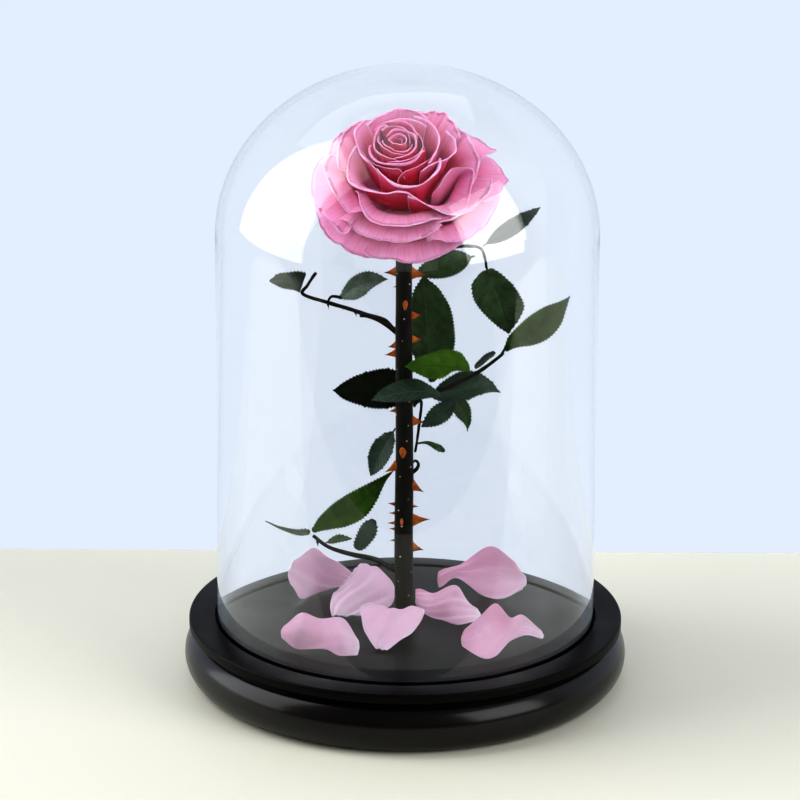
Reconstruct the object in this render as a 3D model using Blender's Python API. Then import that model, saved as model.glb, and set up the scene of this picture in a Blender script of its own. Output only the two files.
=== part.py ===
"""A preserved pink rose, its leaves and seven fallen petals, under a glass dome on a turned wooden base.

Lengths are millimetres and angles are degrees. Each mesh is scaled to metres as it is made.
The origin is the middle of the base's underside. +Z is up, and the bloom nods towards -Y.
"""

import math

import bpy
import numpy as np

MM = 0.001
GAP = 0.3
SEGMENTS = 40

# Base: a flat disc, a groove for the dome, a square lip, and a bead below it
BASE_HEIGHT = 32.3
BEAD_RADIUS = 110.0
BEAD_INSET = 12.0
BEAD_ARC = (62, -60, 7)
LIP_RADIUS = 107.8
LIP_EDGE = 1.1
FASCIA_HEIGHT = 4.7
QUIRK_DEPTH = 2.6
QUIRK_HEIGHT = 1.0
GROOVE_DEPTH = 6.0
GROOVE_CLEARANCE = 1.0
SOCKET_RADIUS = 5.6
SOCKET_DEPTH = 8.0

# Dome: straight glass wall with a half-ellipse on top
DOME_RADIUS = 93.8
DOME_WALL = 3.0
DOME_SPRING = 230.5
DOME_TOP = 313.1
DOME_FOOT_EDGE = 0.8

# Stem: hand-set points of its axis, with the radius at each
STEM_FOOT = BASE_HEIGHT - SOCKET_DEPTH + GAP
STEM_AXIS = (
    (0.0, 0.0, STEM_FOOT, 4.9),
    (-0.6, 0.0, 45.0, 4.7),
    (-1.0, 0.2, 80.0, 4.5),
    (-0.8, 0.0, 112.0, 4.5),
    (-1.1, -0.3, 146.0, 4.2),
    (-1.5, 0.0, 178.0, 4.1),
    (-1.6, 0.0, 206.0, 4.0),
    (-1.6, -0.6, 220.0, 4.1),
)
STEM_SIDES = 10

# Thorns: height on the stem, direction round it (0 is +X, -90 faces front), length, root height, droop
THORNS = (
    (211.0, 8, 7.2, 6.5, 1.0),
    (211.5, 176, 5.0, 5.0, 0.4),
    (203.5, 182, 1.6, 1.8, 0.2),
    (195.0, -80, 2.4, 7.0, 1.5),
    (189.0, -8, 5.4, 4.6, -0.6),
    (176.0, 5, 5.4, 4.8, 0.2),
    (169.0, 170, 4.2, 4.2, -0.8),
    (165.0, 188, 5.4, 4.8, 0.6),
    (142.0, 186, 3.6, 3.6, 0.6),
    (135.0, -6, 6.0, 5.6, 0.4),
    (121.0, -100, 2.6, 9.0, 2.0),
    (114.0, 196, 6.4, 6.4, 3.2),
    (104.0, -14, 6.4, 6.6, 3.4),
    (93.8, 174, 3.8, 3.2, -0.4),
    (93.0, 2, 3.0, 2.6, 0.2),
    (89.5, 184, 3.2, 2.6, -0.2),
    (86.0, 0, 8.6, 7.6, -0.4),
    (86.0, -104, 2.4, 5.6, 0.8),
    (84.4, 178, 3.8, 2.8, 0.2),
    (81.4, 186, 3.0, 2.6, -0.4),
    (75.5, 176, 2.6, 2.4, 0.2),
    (72.0, 6, 5.8, 6.2, 1.8),
)
# The root sinks into the stem; the shoulder stands this share of the length out and is this share as tall
THORN_SINK = 1.3
THORN_SHOULDER = (0.3, 0.42)
THORN_THICKNESS = 0.42

# Bloom: where its axis starts, how far it nods forward, and its nested cups
BLOOM_POLE = np.array((-1.0, -9.0, 251.0))
BLOOM_NOD = 28.0
# Each cup is a curve of four points (radius, height), from the tight heart to the lowest petals
CUPS = (
    ((3.2, 7.0), (9.0, 14.0), (13.5, 28.0), (12.0, 41.0)),
    ((4.6, 4.6), (16.0, 10.0), (25.0, 24.0), (24.0, 37.0)),
    ((6.2, 2.9), (21.0, 4.0), (33.0, 16.0), (34.0, 30.0)),
    ((7.8, 1.2), (25.0, -1.0), (38.0, 8.0), (42.0, 20.0)),
    ((9.4, -0.6), (26.0, -5.0), (40.0, 0.0), (46.0, 10.0)),
    ((11.0, -2.4), (25.0, -8.0), (38.0, -5.5), (45.0, 0.5)),
)
PETAL_THICKNESS = 0.6
PETAL_CELLS = (5, 4)
# A petal is this share of its width at the claw, this much shorter at its sides, and rolls from here on
BASE_SPREAD = 0.55
SIDE_DROP = 0.13
LIP_START = 0.7
# Petals: name, direction round the bloom (0 faces front, 90 is +X), cup (0 is the heart, 5 the
# lowest), half width in degrees, reach along the cup, how far the side edges flare, lip roll, point
PETALS = (
    ("inner_front", 8, 1.38, 47, 1.00, -0.20, 1.6, 0.00),
    ("inner_right", 80, 1.00, 44, 1.00, 0.00, 1.8, 0.00),
    ("inner_back_right", 134, 0.50, 48, 0.97, 0.00, 1.0, 0.00),
    ("inner_back_left", -160, 0.24, 58, 0.95, 0.00, 0.8, 0.00),
    ("inner_left", -88, 0.96, 48, 1.00, 0.00, 1.8, 0.00),
    ("middle_front_left", -51, 1.78, 35, 1.00, -0.25, 1.8, 0.00),
    ("middle_front_right", 43, 2.38, 32, 1.00, -0.25, 2.2, 0.00),
    ("middle_right", 97, 1.92, 32, 1.00, 0.00, 2.0, 0.02),
    ("middle_back_right", 146, 2.24, 31, 0.94, 0.00, 1.6, 0.06),
    ("middle_back", -172, 1.80, 34, 0.94, 0.00, 1.6, 0.00),
    ("middle_back_left", -110, 1.98, 31, 0.99, 0.00, 1.2, 0.00),
    ("outer_front", -11, 2.78, 33, 1.00, -0.25, 2.0, 0.00),
    ("outer_front_left", -68, 2.68, 25, 1.00, 0.00, 1.6, 0.00),
    ("outer_front_right", 60, 3.04, 24, 1.00, 0.00, 1.6, 0.02),
    ("outer_right", 113, 3.05, 27, 1.04, 0.00, 1.2, 0.10),
    ("outer_back", 166, 3.30, 36, 0.96, 0.00, 1.6, 0.00),
    ("outer_back_left", -134, 3.05, 34, 0.95, 0.00, 1.6, 0.00),
    ("lower_front", -10, 3.62, 44, 1.00, -0.25, 1.2, 0.00),
    ("lower_front_right", 58, 4.22, 32, 1.02, -0.12, 1.2, 0.02),
    ("lower_right", 94, 3.85, 28, 1.06, 0.00, 0.8, 0.10),
    ("lower_back", 148, 4.25, 38, 0.98, 0.00, 1.2, 0.00),
    ("lower_left", -92, 4.10, 34, 0.95, 0.00, 1.2, 0.02),
    ("lowest_front", 8, 4.85, 34, 0.98, 0.00, 0.8, 0.02),
    ("lowest_front_left", -46, 4.62, 34, 0.99, 0.00, 1.0, 0.02),
)
HEART_LEAN = -4.0
HEART_SIDES = 12
# Heart: the tight spiral of the middle, as one turned form (radius, height)
HEART_PROFILE = ((0.0, 42.5), (6.0, 42.0), (10.0, 39.5), (11.6, 33.0), (10.4, 22.0), (7.0, 13.5), (0.0, 8.6))

# Calyx: receptacle and five sepals below the petals. Each ring has a radius, a height, the share of
# a sepal's reach that it takes in, and its height at the sepal's tip
CALYX_TOP = 4.4
CALYX_FOOT = -13.5
CALYX_RINGS = (
    (10.2, -4.6, 0.0, -4.6),
    (10.0, -6.4, 1.0, -9.6),
    (9.6, -7.6, 0.96, -10.5),
    (8.6, -9.8, 0.0, -9.8),
    (4.6, -13.5, 0.0, -13.5),
)
SEPAL_REACH = 13.0
SEPAL_COUNT = 5
CALYX_SIDES = 20
NECK = (-12.0, 4.3)

# Twigs: hand-set points of each axis, and the radius at its first and last point
TWIGS = (
    ("twig_upper_left", 1.25, 0.7, (
        (-6.6, 1.5, 181.6), (-11.3, 2.0, 186.2), (-20.1, 2.0, 188.9), (-27.9, 2.0, 191.6),
        (-38.7, 3.0, 194.5), (-51.0, 4.0, 198.4), (-48.6, 4.0, 203.0), (-45.6, 4.0, 208.0))),
    ("twig_upper_right", 1.1, 0.6, (
        (1.4, 3.6, 214.6), (9.0, 14.0, 215.4), (20.0, 22.0, 216.4), (30.0, 25.0, 216.6),
        (36.3, 25.2, 215.2), (38.6, 24.8, 209.6), (39.2, 24.4, 205.4))),
    ("twig_middle_right", 1.5, 0.7, (
        (3.9, 2.6, 146.6), (10.6, 3.6, 148.6), (17.5, 4.0, 151.0), (30.7, 5.0, 157.0),
        (37.1, 6.0, 160.5), (43.5, 7.0, 165.0), (47.6, 8.0, 168.2))),
    ("twig_lower_left", 1.7, 0.8, (
        (-5.9, -0.2, 60.9), (-15.2, 0.0, 65.8), (-26.2, 0.0, 68.2), (-37.6, 0.0, 71.9), (-45.3, 0.4, 77.6))),
    ("twig_middle_down", 0.8, 0.6, (
        (7.2, 4.4, 144.6), (6.4, 4.8, 134.0), (5.2, 4.9, 124.0), (4.4, 5.0, 119.0))),
)
TWIG_SIDES = 6

# Leaves: name, base, tip, width, the way the upper face looks, fold, bend, petiole share
LEAVES = (
    ("far_left", (-52.6, 4.2, 199.4), (-67.7, 6.0, 204.4), 10.0, (0.2, -0.8, 0.6), 14, 1.5, 0.05),
    ("upper_left", (-33.4, 2.0, 197.0), (-9.6, 3.0, 206.4), 10.5, (0.0, -0.8, 0.6), 16, 2.5, 0.08),
    ("back_upper", (12.6, 9.0, 153.0), (7.8, 17.0, 203.5), 26.5, (-0.1, -1.0, 0.2), 10, -2.0, 0.18),
    ("behind_bloom", (33.2, 18.2, 213.6), (3.2, 8.6, 206.6), 14.0, (0.1, -0.85, 0.5), 12, 1.5, 0.06),
    ("upper_far_right", (37.2, 24.6, 216.8), (65.7, 30.0, 235.4), 9.0, (-0.3, -0.9, 0.3), 18, -4.0, 0.06),
    ("upper_right", (39.6, 24.0, 204.6), (50.4, 22.0, 173.4), 26.0, (0.1, -1.0, 0.15), 8, 1.5, 0.02),
    ("far_right", (48.6, 8.4, 169.2), (80.6, 14.0, 195.0), 15.5, (0.2, -0.9, 0.4), 14, 2.0, 0.04),
    ("front_middle", (31.0, 1.4, 161.2), (-0.9, -12.0, 167.7), 15.0, (0.0, -0.8, 0.6), 10, 2.0, 0.08),
    ("small_right", (33.6, 7.4, 160.6), (43.4, 12.6, 167.2), 4.6, (-0.4, -0.6, 0.7), 12, 0.6, 0.20),
    ("front_across", (16.6, -2.0, 150.6), (-16.9, -14.0, 151.4), 13.5, (0.0, -0.6, 0.8), 14, 2.6, 0.08),
    ("back_left", (2.0, 9.4, 147.4), (-36.4, 12.0, 147.6), 20.0, (0.0, -0.95, 0.3), 8, 1.5, 0.04),
    ("lower_right", (12.6, 7.0, 146.6), (46.2, 10.0, 147.9), 15.0, (-0.1, -0.7, 0.7), 14, 3.0, 0.05),
    ("under_right_near", (24.0, 8.0, 141.4), (9.2, 4.6, 130.8), 10.0, (0.4, -0.8, 0.5), 10, 1.5, 0.05),
    ("under_right_far", (25.4, 10.6, 140.6), (31.0, 13.0, 125.0), 10.5, (0.5, -0.85, 0.1), 10, 1.5, 0.05),
    ("small_spoon", (5.6, 4.4, 121.6), (18.9, 0.5, 117.2), 4.8, (0.2, -0.6, 0.8), 10, 2.4, 0.45),
    ("middle_left", (-5.6, 9.6, 129.2), (-17.6, 13.0, 104.0), 12.0, (-0.5, -0.85, 0.15), 12, 1.5, 0.06),
    ("lower_left", (-45.6, 1.6, 79.4), (-6.0, 9.0, 108.3), 15.5, (0.1, -0.85, 0.5), 12, 2.2, 0.03),
    ("low_far_left", (-46.9, 1.0, 78.6), (-68.5, 4.0, 83.6), 5.6, (0.1, -0.6, 0.8), 12, -1.6, 0.05),
    ("low_small", (-39.6, -1.4, 74.4), (-26.2, -4.0, 77.7), 5.0, (0.0, -0.6, 0.8), 12, 1.4, 0.08),
    ("low_round", (-24.0, 1.6, 70.2), (-15.6, 5.0, 84.4), 9.4, (0.2, -0.95, 0.2), 10, 1.0, 0.06),
)
LEAF_THICKNESS = 0.5
LEAF_STATIONS = (0.32, 0.55, 0.78, 1.0)
LEAF_TIP_SHARE = 0.05

# Fallen petals: name, then a net of hand-set points (right, back, height above the disc), one row
# for each station along the petal, each row running from its upper edge to its lower edge
FALLEN = (
    ("back_left", (
        ((-25, 55, 9), (-27, 52, 6), (-28, 50, 2)),
        ((-36, 51, 16), (-39, 50, 8), (-43, 46, 1)),
        ((-45, 52, 22), (-49, 47, 10), (-51, 35, 1)),
        ((-53, 49, 20), (-58, 42, 12), (-55, 35, 5)))),
    ("behind_stem", (
        ((-28, 28, 14), (-21, 36, 19), (-6, 30, 15)),
        ((-33, 25, 10), (-22, 25, 13), (-5, 23, 10)),
        ((-36, 24, 6), (-27, 17, 7), (-6, 18, 5)),
        ((-39, 10, 1), (-30, 9, 1), (-10, 12, 1)))),
    ("front", (
        ((-24, -10, 17), (-6, -9, 11), (11, -15, 16)),
        ((-22, -18, 12), (-7, -17, 6), (9, -19, 11)),
        ((-20, -31, 7), (-9, -29, 3), (4, -29, 6)),
        ((-17, -42, 3), (-10, -43, 1), (-2, -39, 4)))),
    ("right_of_stem", (
        ((5, 26, 12), (5, 22, 7), (5, 19, 2)),
        ((14, 23, 9), (12, 14, 6), (11, 9, 2)),
        ((25, 16, 15), (22, 6, 8), (22, -1, 1)),
        ((30, 12, 9), (37, 4, 4), (33, -4, 1)))),
    ("back_right", (
        ((17, 54, 12), (16, 50, 7), (17, 46, 1)),
        ((27, 57, 12), (26, 53, 10), (25, 51, 7)),
        ((42, 56, 22), (40, 52, 10), (38, 44, 1)),
        ((53, 50, 17), (55, 47, 9), (49, 37, 1)),
        ((57, 50, 13), (60, 44, 8), (56, 38, 4)))),
    ("front_left", (
        ((-57, -27, 10), (-60, -35, 7), (-59, -38, 2)),
        ((-50, -28, 15), (-51, -43, 12), (-52, -44, 1)),
        ((-41, -27, 12), (-41, -40, 9), (-39, -47, 2)),
        ((-30, -31, 13), (-31, -49, 11), (-32, -56, 2)),
        ((-23, -39, 7), (-22, -52, 5), (-24, -60, 1)))),
    ("front_right", (
        ((30, -39, 14), (27, -42, 7), (28, -46, 3)),
        ((37, -36, 18), (34, -43, 7), (37, -57, 1)),
        ((44, -34, 22), (43, -37, 9), (44, -52, 1)),
        ((51, -32, 14), (50, -33, 8), (51, -38, 4)),
        ((57, -28, 14), (57, -30, 9), (58, -34, 5)),
        ((65, -29, 7), (67, -32, 4), (65, -34, 2)))),
)
FALLEN_CELLS = (5, 5)
FALLEN_ROUNDING = 0.4


def bezier(points, t):
    """Point on the curve of four control points."""
    a, b, c, d = (np.asarray(p, float) for p in points)
    s = 1 - t
    return s ** 3 * a + 3 * s * s * t * b + 3 * s * t * t * c + t ** 3 * d


def through(points, t):
    """Place at t, from 0 to 1, on the smooth curve through the points."""
    points = np.asarray(points, float)
    padded = [2 * points[0] - points[1], *points, 2 * points[-1] - points[-2]]
    scaled = t * (len(points) - 1)
    k = min(int(scaled), len(points) - 2)
    a, b, c, d = padded[k:k + 4]
    t = scaled - k
    return 0.5 * (2 * b + (c - a) * t + (2 * a - 5 * b + 4 * c - d) * t * t + (3 * b - a - 3 * c + d) * t ** 3)


def smooth_path(points, steps):
    """Points of the smooth curve, with that many steps between each two of those given."""
    return [through(points, t) for t in np.linspace(0, 1, steps * (len(points) - 1) + 1)]


def unit(vector):
    return np.asarray(vector, float) / np.linalg.norm(vector)


def material(name, colour, roughness, transmission=0.0):
    made = bpy.data.materials.new(name)
    made.use_nodes = True
    shader = made.node_tree.nodes["Principled BSDF"]
    shader.inputs["Base Color"].default_value = (*colour, 1.0)
    shader.inputs["Roughness"].default_value = roughness
    shader.inputs["Transmission Weight"].default_value = transmission
    return made


def add_object(name, points, faces, finish, smooth=40):
    """Mesh object of points in millimetres."""
    mesh = bpy.data.meshes.new(name)
    mesh.from_pydata([tuple(MM * float(x) for x in p) for p in points], [], faces)
    mesh.materials.append(finish)
    obj = bpy.data.objects.new(name, mesh)
    bpy.context.scene.collection.objects.link(obj)
    if faces:
        mesh.shade_smooth()
        mesh.set_sharp_from_angle(angle=math.radians(smooth))
    return obj


def turned(name, profile, finish):
    """Solid of revolution, from a profile that runs down its outer side from axis to axis."""
    mesh = bpy.data.meshes.new(name)
    mesh.from_pydata([(MM * r, 0.0, MM * z) for r, z in profile],
                     [(i, i + 1) for i in range(len(profile) - 1)], [])
    mesh.materials.append(finish)
    obj = bpy.data.objects.new(name, mesh)
    bpy.context.scene.collection.objects.link(obj)
    screw = obj.modifiers.new("turn", "SCREW")
    screw.steps = screw.render_steps = SEGMENTS
    screw.use_merge_vertices = True
    screw.merge_threshold = 1e-5
    screw.use_smooth_shade = True
    return obj


def arc(centre, radii, start, end, count):
    """Points of an elliptical arc, angles measured from the outward radius upwards."""
    return [(centre[0] + radii[0] * math.cos(a), centre[1] + radii[1] * math.sin(a))
            for a in np.radians(np.linspace(start, end, count))]


def sheet(name, rows, thickness, finish):
    """Closed thin solid whose front face is the grid of points, its back face one thickness behind."""
    grid = np.array(rows)
    along = np.gradient(grid, axis=0)
    across = np.gradient(grid, axis=1)
    back = np.cross(along, across)
    back /= np.linalg.norm(back, axis=2, keepdims=True)
    height, width = grid.shape[:2]
    points = [*grid.reshape(-1, 3), *(grid + back * thickness).reshape(-1, 3)]

    def number(i, j, side):
        return side * height * width + i * width + j

    faces = []
    for i in range(height - 1):
        for j in range(width - 1):
            cell = [(i, j), (i + 1, j), (i + 1, j + 1), (i, j + 1)]
            faces.append([number(*c, 1) for c in cell])
            faces.append([number(*c, 0) for c in reversed(cell)])
    rim = [(0, j) for j in range(width - 1)] + [(i, width - 1) for i in range(height - 1)]
    rim += [(height - 1, j) for j in range(width - 1, 0, -1)] + [(i, 0) for i in range(height - 1, 0, -1)]
    for here, after in zip(rim, rim[1:] + rim[:1]):
        faces.append([number(*here, 0), number(*here, 1), number(*after, 1), number(*after, 0)])
    return add_object(name, points, faces, finish)


def tube(name, axis, radii, sides, finish):
    """Round rod along the points of an axis, with a flat cap at each end."""
    axis = [np.asarray(p, float) for p in axis]
    side_hint = unit(np.cross(axis[-1] - axis[0], (0.3, 1.0, 0.1)))
    points = []
    for i, centre in enumerate(axis):
        ahead = unit(axis[min(i + 1, len(axis) - 1)] - axis[max(i - 1, 0)])
        side = unit(side_hint - ahead * side_hint.dot(ahead))
        up = np.cross(ahead, side)
        for turn in np.linspace(0, 2 * math.pi, sides, endpoint=False):
            points.append(centre + radii[i] * (side * math.cos(turn) + up * math.sin(turn)))
    faces = [list(range(sides))[::-1], [len(points) - sides + k for k in range(sides)]]
    for i in range(len(axis) - 1):
        for k in range(sides):
            a, b = i * sides + k, i * sides + (k + 1) % sides
            faces.append([a, b, b + sides, a + sides])
    return add_object(name, points, faces, finish)


def bloom_axes():
    """The bloom's front, right and axis directions."""
    nod = math.radians(BLOOM_NOD)
    front = np.array((0.0, -math.cos(nod), -math.sin(nod)))
    axis = np.array((0.0, -math.sin(nod), math.cos(nod)))
    return front, np.array((1.0, 0.0, 0.0)), axis


def in_bloom(radius, height, direction):
    """World point from a radius, height and direction in the bloom's own frame."""
    front, right, axis = bloom_axes()
    turn = math.radians(direction)
    return BLOOM_POLE + radius * (math.cos(turn) * front + math.sin(turn) * right) + height * axis


def cup_point(cup, along):
    """Radius and height on the nested cups; a fractional cup lies between two of them."""
    low = min(int(max(cup, 0.0)), len(CUPS) - 2)
    share = cup - low
    return (1 - share) * bezier(CUPS[low], along) + share * bezier(CUPS[low + 1], along)


def petal_point(u, v, direction, cup, half_width, reach, flare, lip, point):
    """Point of a petal, u from -1 to 1 across it and v from 0 at its claw to 1 at its lip."""
    outline = reach * (1 - SIDE_DROP * abs(u) ** 2.5) + point * (1 - abs(u)) ** 2
    along = v * outline
    open_here = cup + flare * u * u * v
    r, h = cup_point(open_here, along)
    r_on, h_on = cup_point(open_here, along + 0.01)
    slope = unit((r_on - r, h_on - h))
    roll = lip * max(0.0, (v - LIP_START) / (1 - LIP_START)) ** 2
    spread = BASE_SPREAD + (1 - BASE_SPREAD) * math.sin(0.5 * math.pi * min(1.0, 1.15 * v))
    return in_bloom(r + roll * slope[1], h - roll * slope[0], direction + half_width * spread * u)


def heart_point(radius, height, direction):
    """World point on the heart, whose top stands a little to the left of the bloom's axis."""
    return in_bloom(radius, height, direction) + (HEART_LEAN * (height / HEART_PROFILE[0][1]) ** 2, 0, 0)


def make_bloom(pink):
    across, along = PETAL_CELLS
    for name, *shape in PETALS:
        rows = [[petal_point(u, v, *shape) for u in np.linspace(-1, 1, across + 1)]
                for v in np.linspace(0, 1, along + 1)]
        sheet("petal_" + name, rows, PETAL_THICKNESS, pink)
    turns = np.linspace(0, 360, HEART_SIDES, endpoint=False)
    points = [heart_point(*HEART_PROFILE[0], 0), heart_point(*HEART_PROFILE[-1], 0)]
    rings = HEART_PROFILE[1:-1]
    for radius, height in rings:
        points += [heart_point(radius, height, -turn) for turn in turns]
    add_object("rose_heart", points, ring_faces(len(rings), HEART_SIDES), pink)


def ring_faces(rings, sides):
    """Faces of stacked rings whose poles are points 0 (top) and 1 (bottom), turning clockwise from below."""
    faces = []
    for k in range(sides):
        after = (k + 1) % sides
        faces.append([0, 2 + after, 2 + k])
        last = 2 + (rings - 1) * sides
        faces.append([1, last + k, last + after])
        for i in range(rings - 1):
            top, low = 2 + i * sides, 2 + (i + 1) * sides
            faces.append([top + k, top + after, low + after, low + k])
    return faces


def calyx_shape(green):
    """Receptacle and five sepals, which grow from the top of the stem."""
    turns = np.linspace(0, 360, CALYX_SIDES, endpoint=False)
    points = [in_bloom(0, CALYX_TOP, 0), in_bloom(0, CALYX_FOOT, 0)]
    pitch = 360 / SEPAL_COUNT
    for radius, height, share, tip_height in CALYX_RINGS:
        for turn in turns:
            from_middle = (turn % pitch - 0.5 * pitch) / pitch
            sepal = max(0.0, math.cos(math.pi * from_middle)) ** 3
            drop = height + (tip_height - height) * share * sepal
            points.append(in_bloom(radius + share * sepal * SEPAL_REACH, drop, -turn))
    return add_object("calyx_shape", points, ring_faces(len(CALYX_RINGS), CALYX_SIDES), green)


def thorn_points(height, direction, length, root, droop):
    """Nine points of a blade-like thorn: a sunken root, a shoulder and a tip."""
    axis = np.array(STEM_AXIS)
    centre = np.array([np.interp(height, axis[:, 2], axis[:, k]) for k in (0, 1)])
    radius = np.interp(height, axis[:, 2], axis[:, 3])
    turn = math.radians(direction)
    out = np.array((math.cos(turn), math.sin(turn), 0.0))
    side = np.array((-math.sin(turn), math.cos(turn), 0.0))
    up = np.array((0.0, 0.0, 1.0))
    start = np.array((*centre, height))
    points = []
    shoulder, share = THORN_SHOULDER
    for reach, size, drop in ((radius - THORN_SINK, 1.0, 0.0), (radius + shoulder * length, share, 0.25 * droop)):
        middle = start + out * reach - up * drop
        tall, wide = 0.5 * root * size, 0.5 * root * size * THORN_THICKNESS
        points += [middle + up * tall, middle + side * wide, middle - up * tall, middle - side * wide]
    return [*points, start + out * (radius + length) - up * droop]


def make_stem(finish, green):
    neck = in_bloom(0, NECK[0], 0)
    path = smooth_path([*STEM_AXIS, (*neck, NECK[1])], 2)
    stem = tube("stem", [p[:3] for p in path], [p[3] for p in path], STEM_SIDES, finish)
    points, faces = [], []
    for thorn in THORNS:
        n = len(points)
        points += thorn_points(*thorn)
        faces.append([n, n + 3, n + 2, n + 1])
        for k in range(4):
            after = (k + 1) % 4
            faces.append([n + k, n + after, n + 4 + after, n + 4 + k])
            faces.append([n + 4 + k, n + 4 + after, n + 8])
    for grown in (add_object("thorn_shapes", points, faces, finish), calyx_shape(green)):
        grown.hide_render = True
        grown.display_type = "WIRE"
        union = stem.modifiers.new(grown.name, "BOOLEAN")
        union.operation = "UNION"
        union.solver = "EXACT"
        union.object = grown


def leaf_width(t, petiole):
    """Share of the full width at t along a leaf: a narrow petiole, then a pointed oval."""
    blade = min(1.0, max(0.0, (t - petiole) / (1 - petiole)))
    return max(LEAF_TIP_SHARE, math.sin(math.pi * blade ** 0.85) ** 0.8)


def make_leaf(name, base, tip, width, facing, fold, bend, petiole, finish):
    base, tip = np.array(base), np.array(tip)
    ahead = unit(tip - base)
    side = unit(np.cross(ahead, facing))
    face = np.cross(side, ahead)
    lift = math.radians(fold)
    rows = []
    for t in (0.0, max(petiole, 0.1), *LEAF_STATIONS):
        middle = base + (tip - base) * t + face * bend * math.sin(math.pi * t)
        half = 0.5 * width * leaf_width(t, petiole)
        reach = side * half * math.cos(lift)
        rise = face * half * math.sin(lift)
        rows.append([middle - reach + rise, middle, middle + reach + rise])
    return sheet("leaf_" + name, rows, LEAF_THICKNESS, finish)


def make_fallen(name, net, finish):
    across, along = FALLEN_CELLS
    grid = []
    for v in np.linspace(0, 1, along + 1):
        spread = 1 - FALLEN_ROUNDING * abs(2 * v - 1) ** 4
        row = [through(points, v) for points in zip(*net)]
        grid.append([through(row, 0.5 + 0.5 * spread * u) for u in np.linspace(-1, 1, across + 1)])
    grid = np.array(grid) + (0, 0, BASE_HEIGHT)
    grid[..., 2] = np.maximum(grid[..., 2], BASE_HEIGHT + GAP + PETAL_THICKNESS)
    return sheet("fallen_petal_" + name, grid, PETAL_THICKNESS, finish)


def make_base(wood):
    groove = (DOME_RADIUS - DOME_WALL - GROOVE_CLEARANCE, DOME_RADIUS + GROOVE_CLEARANCE)
    floor = BASE_HEIGHT - GROOVE_DEPTH
    fascia = BASE_HEIGHT - FASCIA_HEIGHT
    bead_top = fascia - QUIRK_HEIGHT
    profile = [
        (0.0, BASE_HEIGHT - SOCKET_DEPTH), (SOCKET_RADIUS, BASE_HEIGHT - SOCKET_DEPTH),
        (SOCKET_RADIUS, BASE_HEIGHT), (groove[0], BASE_HEIGHT), (groove[0], floor),
        (groove[1], floor), (groove[1], BASE_HEIGHT), (LIP_RADIUS - LIP_EDGE, BASE_HEIGHT),
        (LIP_RADIUS, BASE_HEIGHT - LIP_EDGE), (LIP_RADIUS, fascia),
        (LIP_RADIUS - QUIRK_DEPTH, fascia - 0.5 * QUIRK_HEIGHT),
    ]
    half = 0.5 * bead_top
    profile += arc((BEAD_RADIUS - BEAD_INSET, half), (BEAD_INSET, half), *BEAD_ARC)
    profile += [(BEAD_RADIUS - BEAD_INSET, 0.0), (0.0, 0.0)]
    turned("base", profile, wood)


def make_dome(glass):
    inner = DOME_RADIUS - DOME_WALL
    foot = BASE_HEIGHT - GROOVE_DEPTH + GAP
    profile = arc((0, DOME_SPRING), (DOME_RADIUS, DOME_TOP - DOME_SPRING), 90, 0, 10)
    edge = DOME_FOOT_EDGE
    profile += [(DOME_RADIUS, foot + edge), (DOME_RADIUS - edge, foot), (inner + edge, foot), (inner, foot + edge)]
    profile += arc((0, DOME_SPRING), (inner, DOME_TOP - DOME_WALL - DOME_SPRING), 0, 90, 9)
    profile[0] = (0.0, DOME_TOP)
    profile[-1] = (0.0, DOME_TOP - DOME_WALL)
    turned("glass_dome", profile, glass)


def main():
    for obj in list(bpy.data.objects):
        bpy.data.objects.remove(obj)
    wood = material("dark_wood", (0.018, 0.011, 0.009), 0.3)
    glass = material("clear_glass", (1.0, 1.0, 1.0), 0.0, transmission=1.0)
    bark = material("stem_bark", (0.03, 0.035, 0.02), 0.6)
    pink = material("pink_petal", (0.85, 0.22, 0.38), 0.6)
    pale = material("pale_petal", (0.9, 0.42, 0.52), 0.6)
    green = material("leaf_green", (0.02, 0.07, 0.03), 0.45)
    make_base(wood)
    make_dome(glass)
    make_stem(bark, green)
    make_bloom(pink)
    for name, first, last, points in TWIGS:
        path = smooth_path(points, 1)
        radii = np.linspace(first, last, len(path))
        tube(name, path, radii, TWIG_SIDES, bark)
    for leaf in LEAVES:
        make_leaf(*leaf, green)
    for petal in FALLEN:
        make_fallen(*petal, pale)


main()
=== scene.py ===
# %% [markdown]
# # A preserved rose under a glass dome
# The object is a pink rose on its thorny stem, standing on a dark turned base under a clear dome.
# The imported model gives the frame: every piece below sits where its plain solid is, in metres, with
# the middle of the base's underside at the origin. Sizes given here are in millimetres, and MM turns
# them into metres.

# %% Load the frame
import math

import bpy
import numpy as np
from mathutils import Matrix, Vector


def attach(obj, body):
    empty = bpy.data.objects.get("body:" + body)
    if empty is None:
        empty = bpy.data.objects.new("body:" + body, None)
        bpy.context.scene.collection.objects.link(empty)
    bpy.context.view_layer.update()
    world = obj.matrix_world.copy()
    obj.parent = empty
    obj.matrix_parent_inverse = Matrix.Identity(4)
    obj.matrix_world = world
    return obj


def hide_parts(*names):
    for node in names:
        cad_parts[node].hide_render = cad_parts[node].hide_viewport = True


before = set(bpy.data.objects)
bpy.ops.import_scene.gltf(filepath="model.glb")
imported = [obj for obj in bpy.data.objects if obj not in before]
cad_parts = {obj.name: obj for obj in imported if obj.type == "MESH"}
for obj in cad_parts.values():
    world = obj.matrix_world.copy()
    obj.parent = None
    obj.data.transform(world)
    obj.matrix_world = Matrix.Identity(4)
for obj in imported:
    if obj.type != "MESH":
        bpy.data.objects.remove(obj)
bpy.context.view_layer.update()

MM = 0.001
print("nodes in the frame:", len(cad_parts))

# %% [markdown]
# ## Helpers for curves
# A flower is drawn with smooth curves. Two kinds are enough here: a curve of four control points,
# and one that passes through every point it is given. Both take whole arrays of places at once,
# which keeps the fine meshes quick to make.

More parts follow.
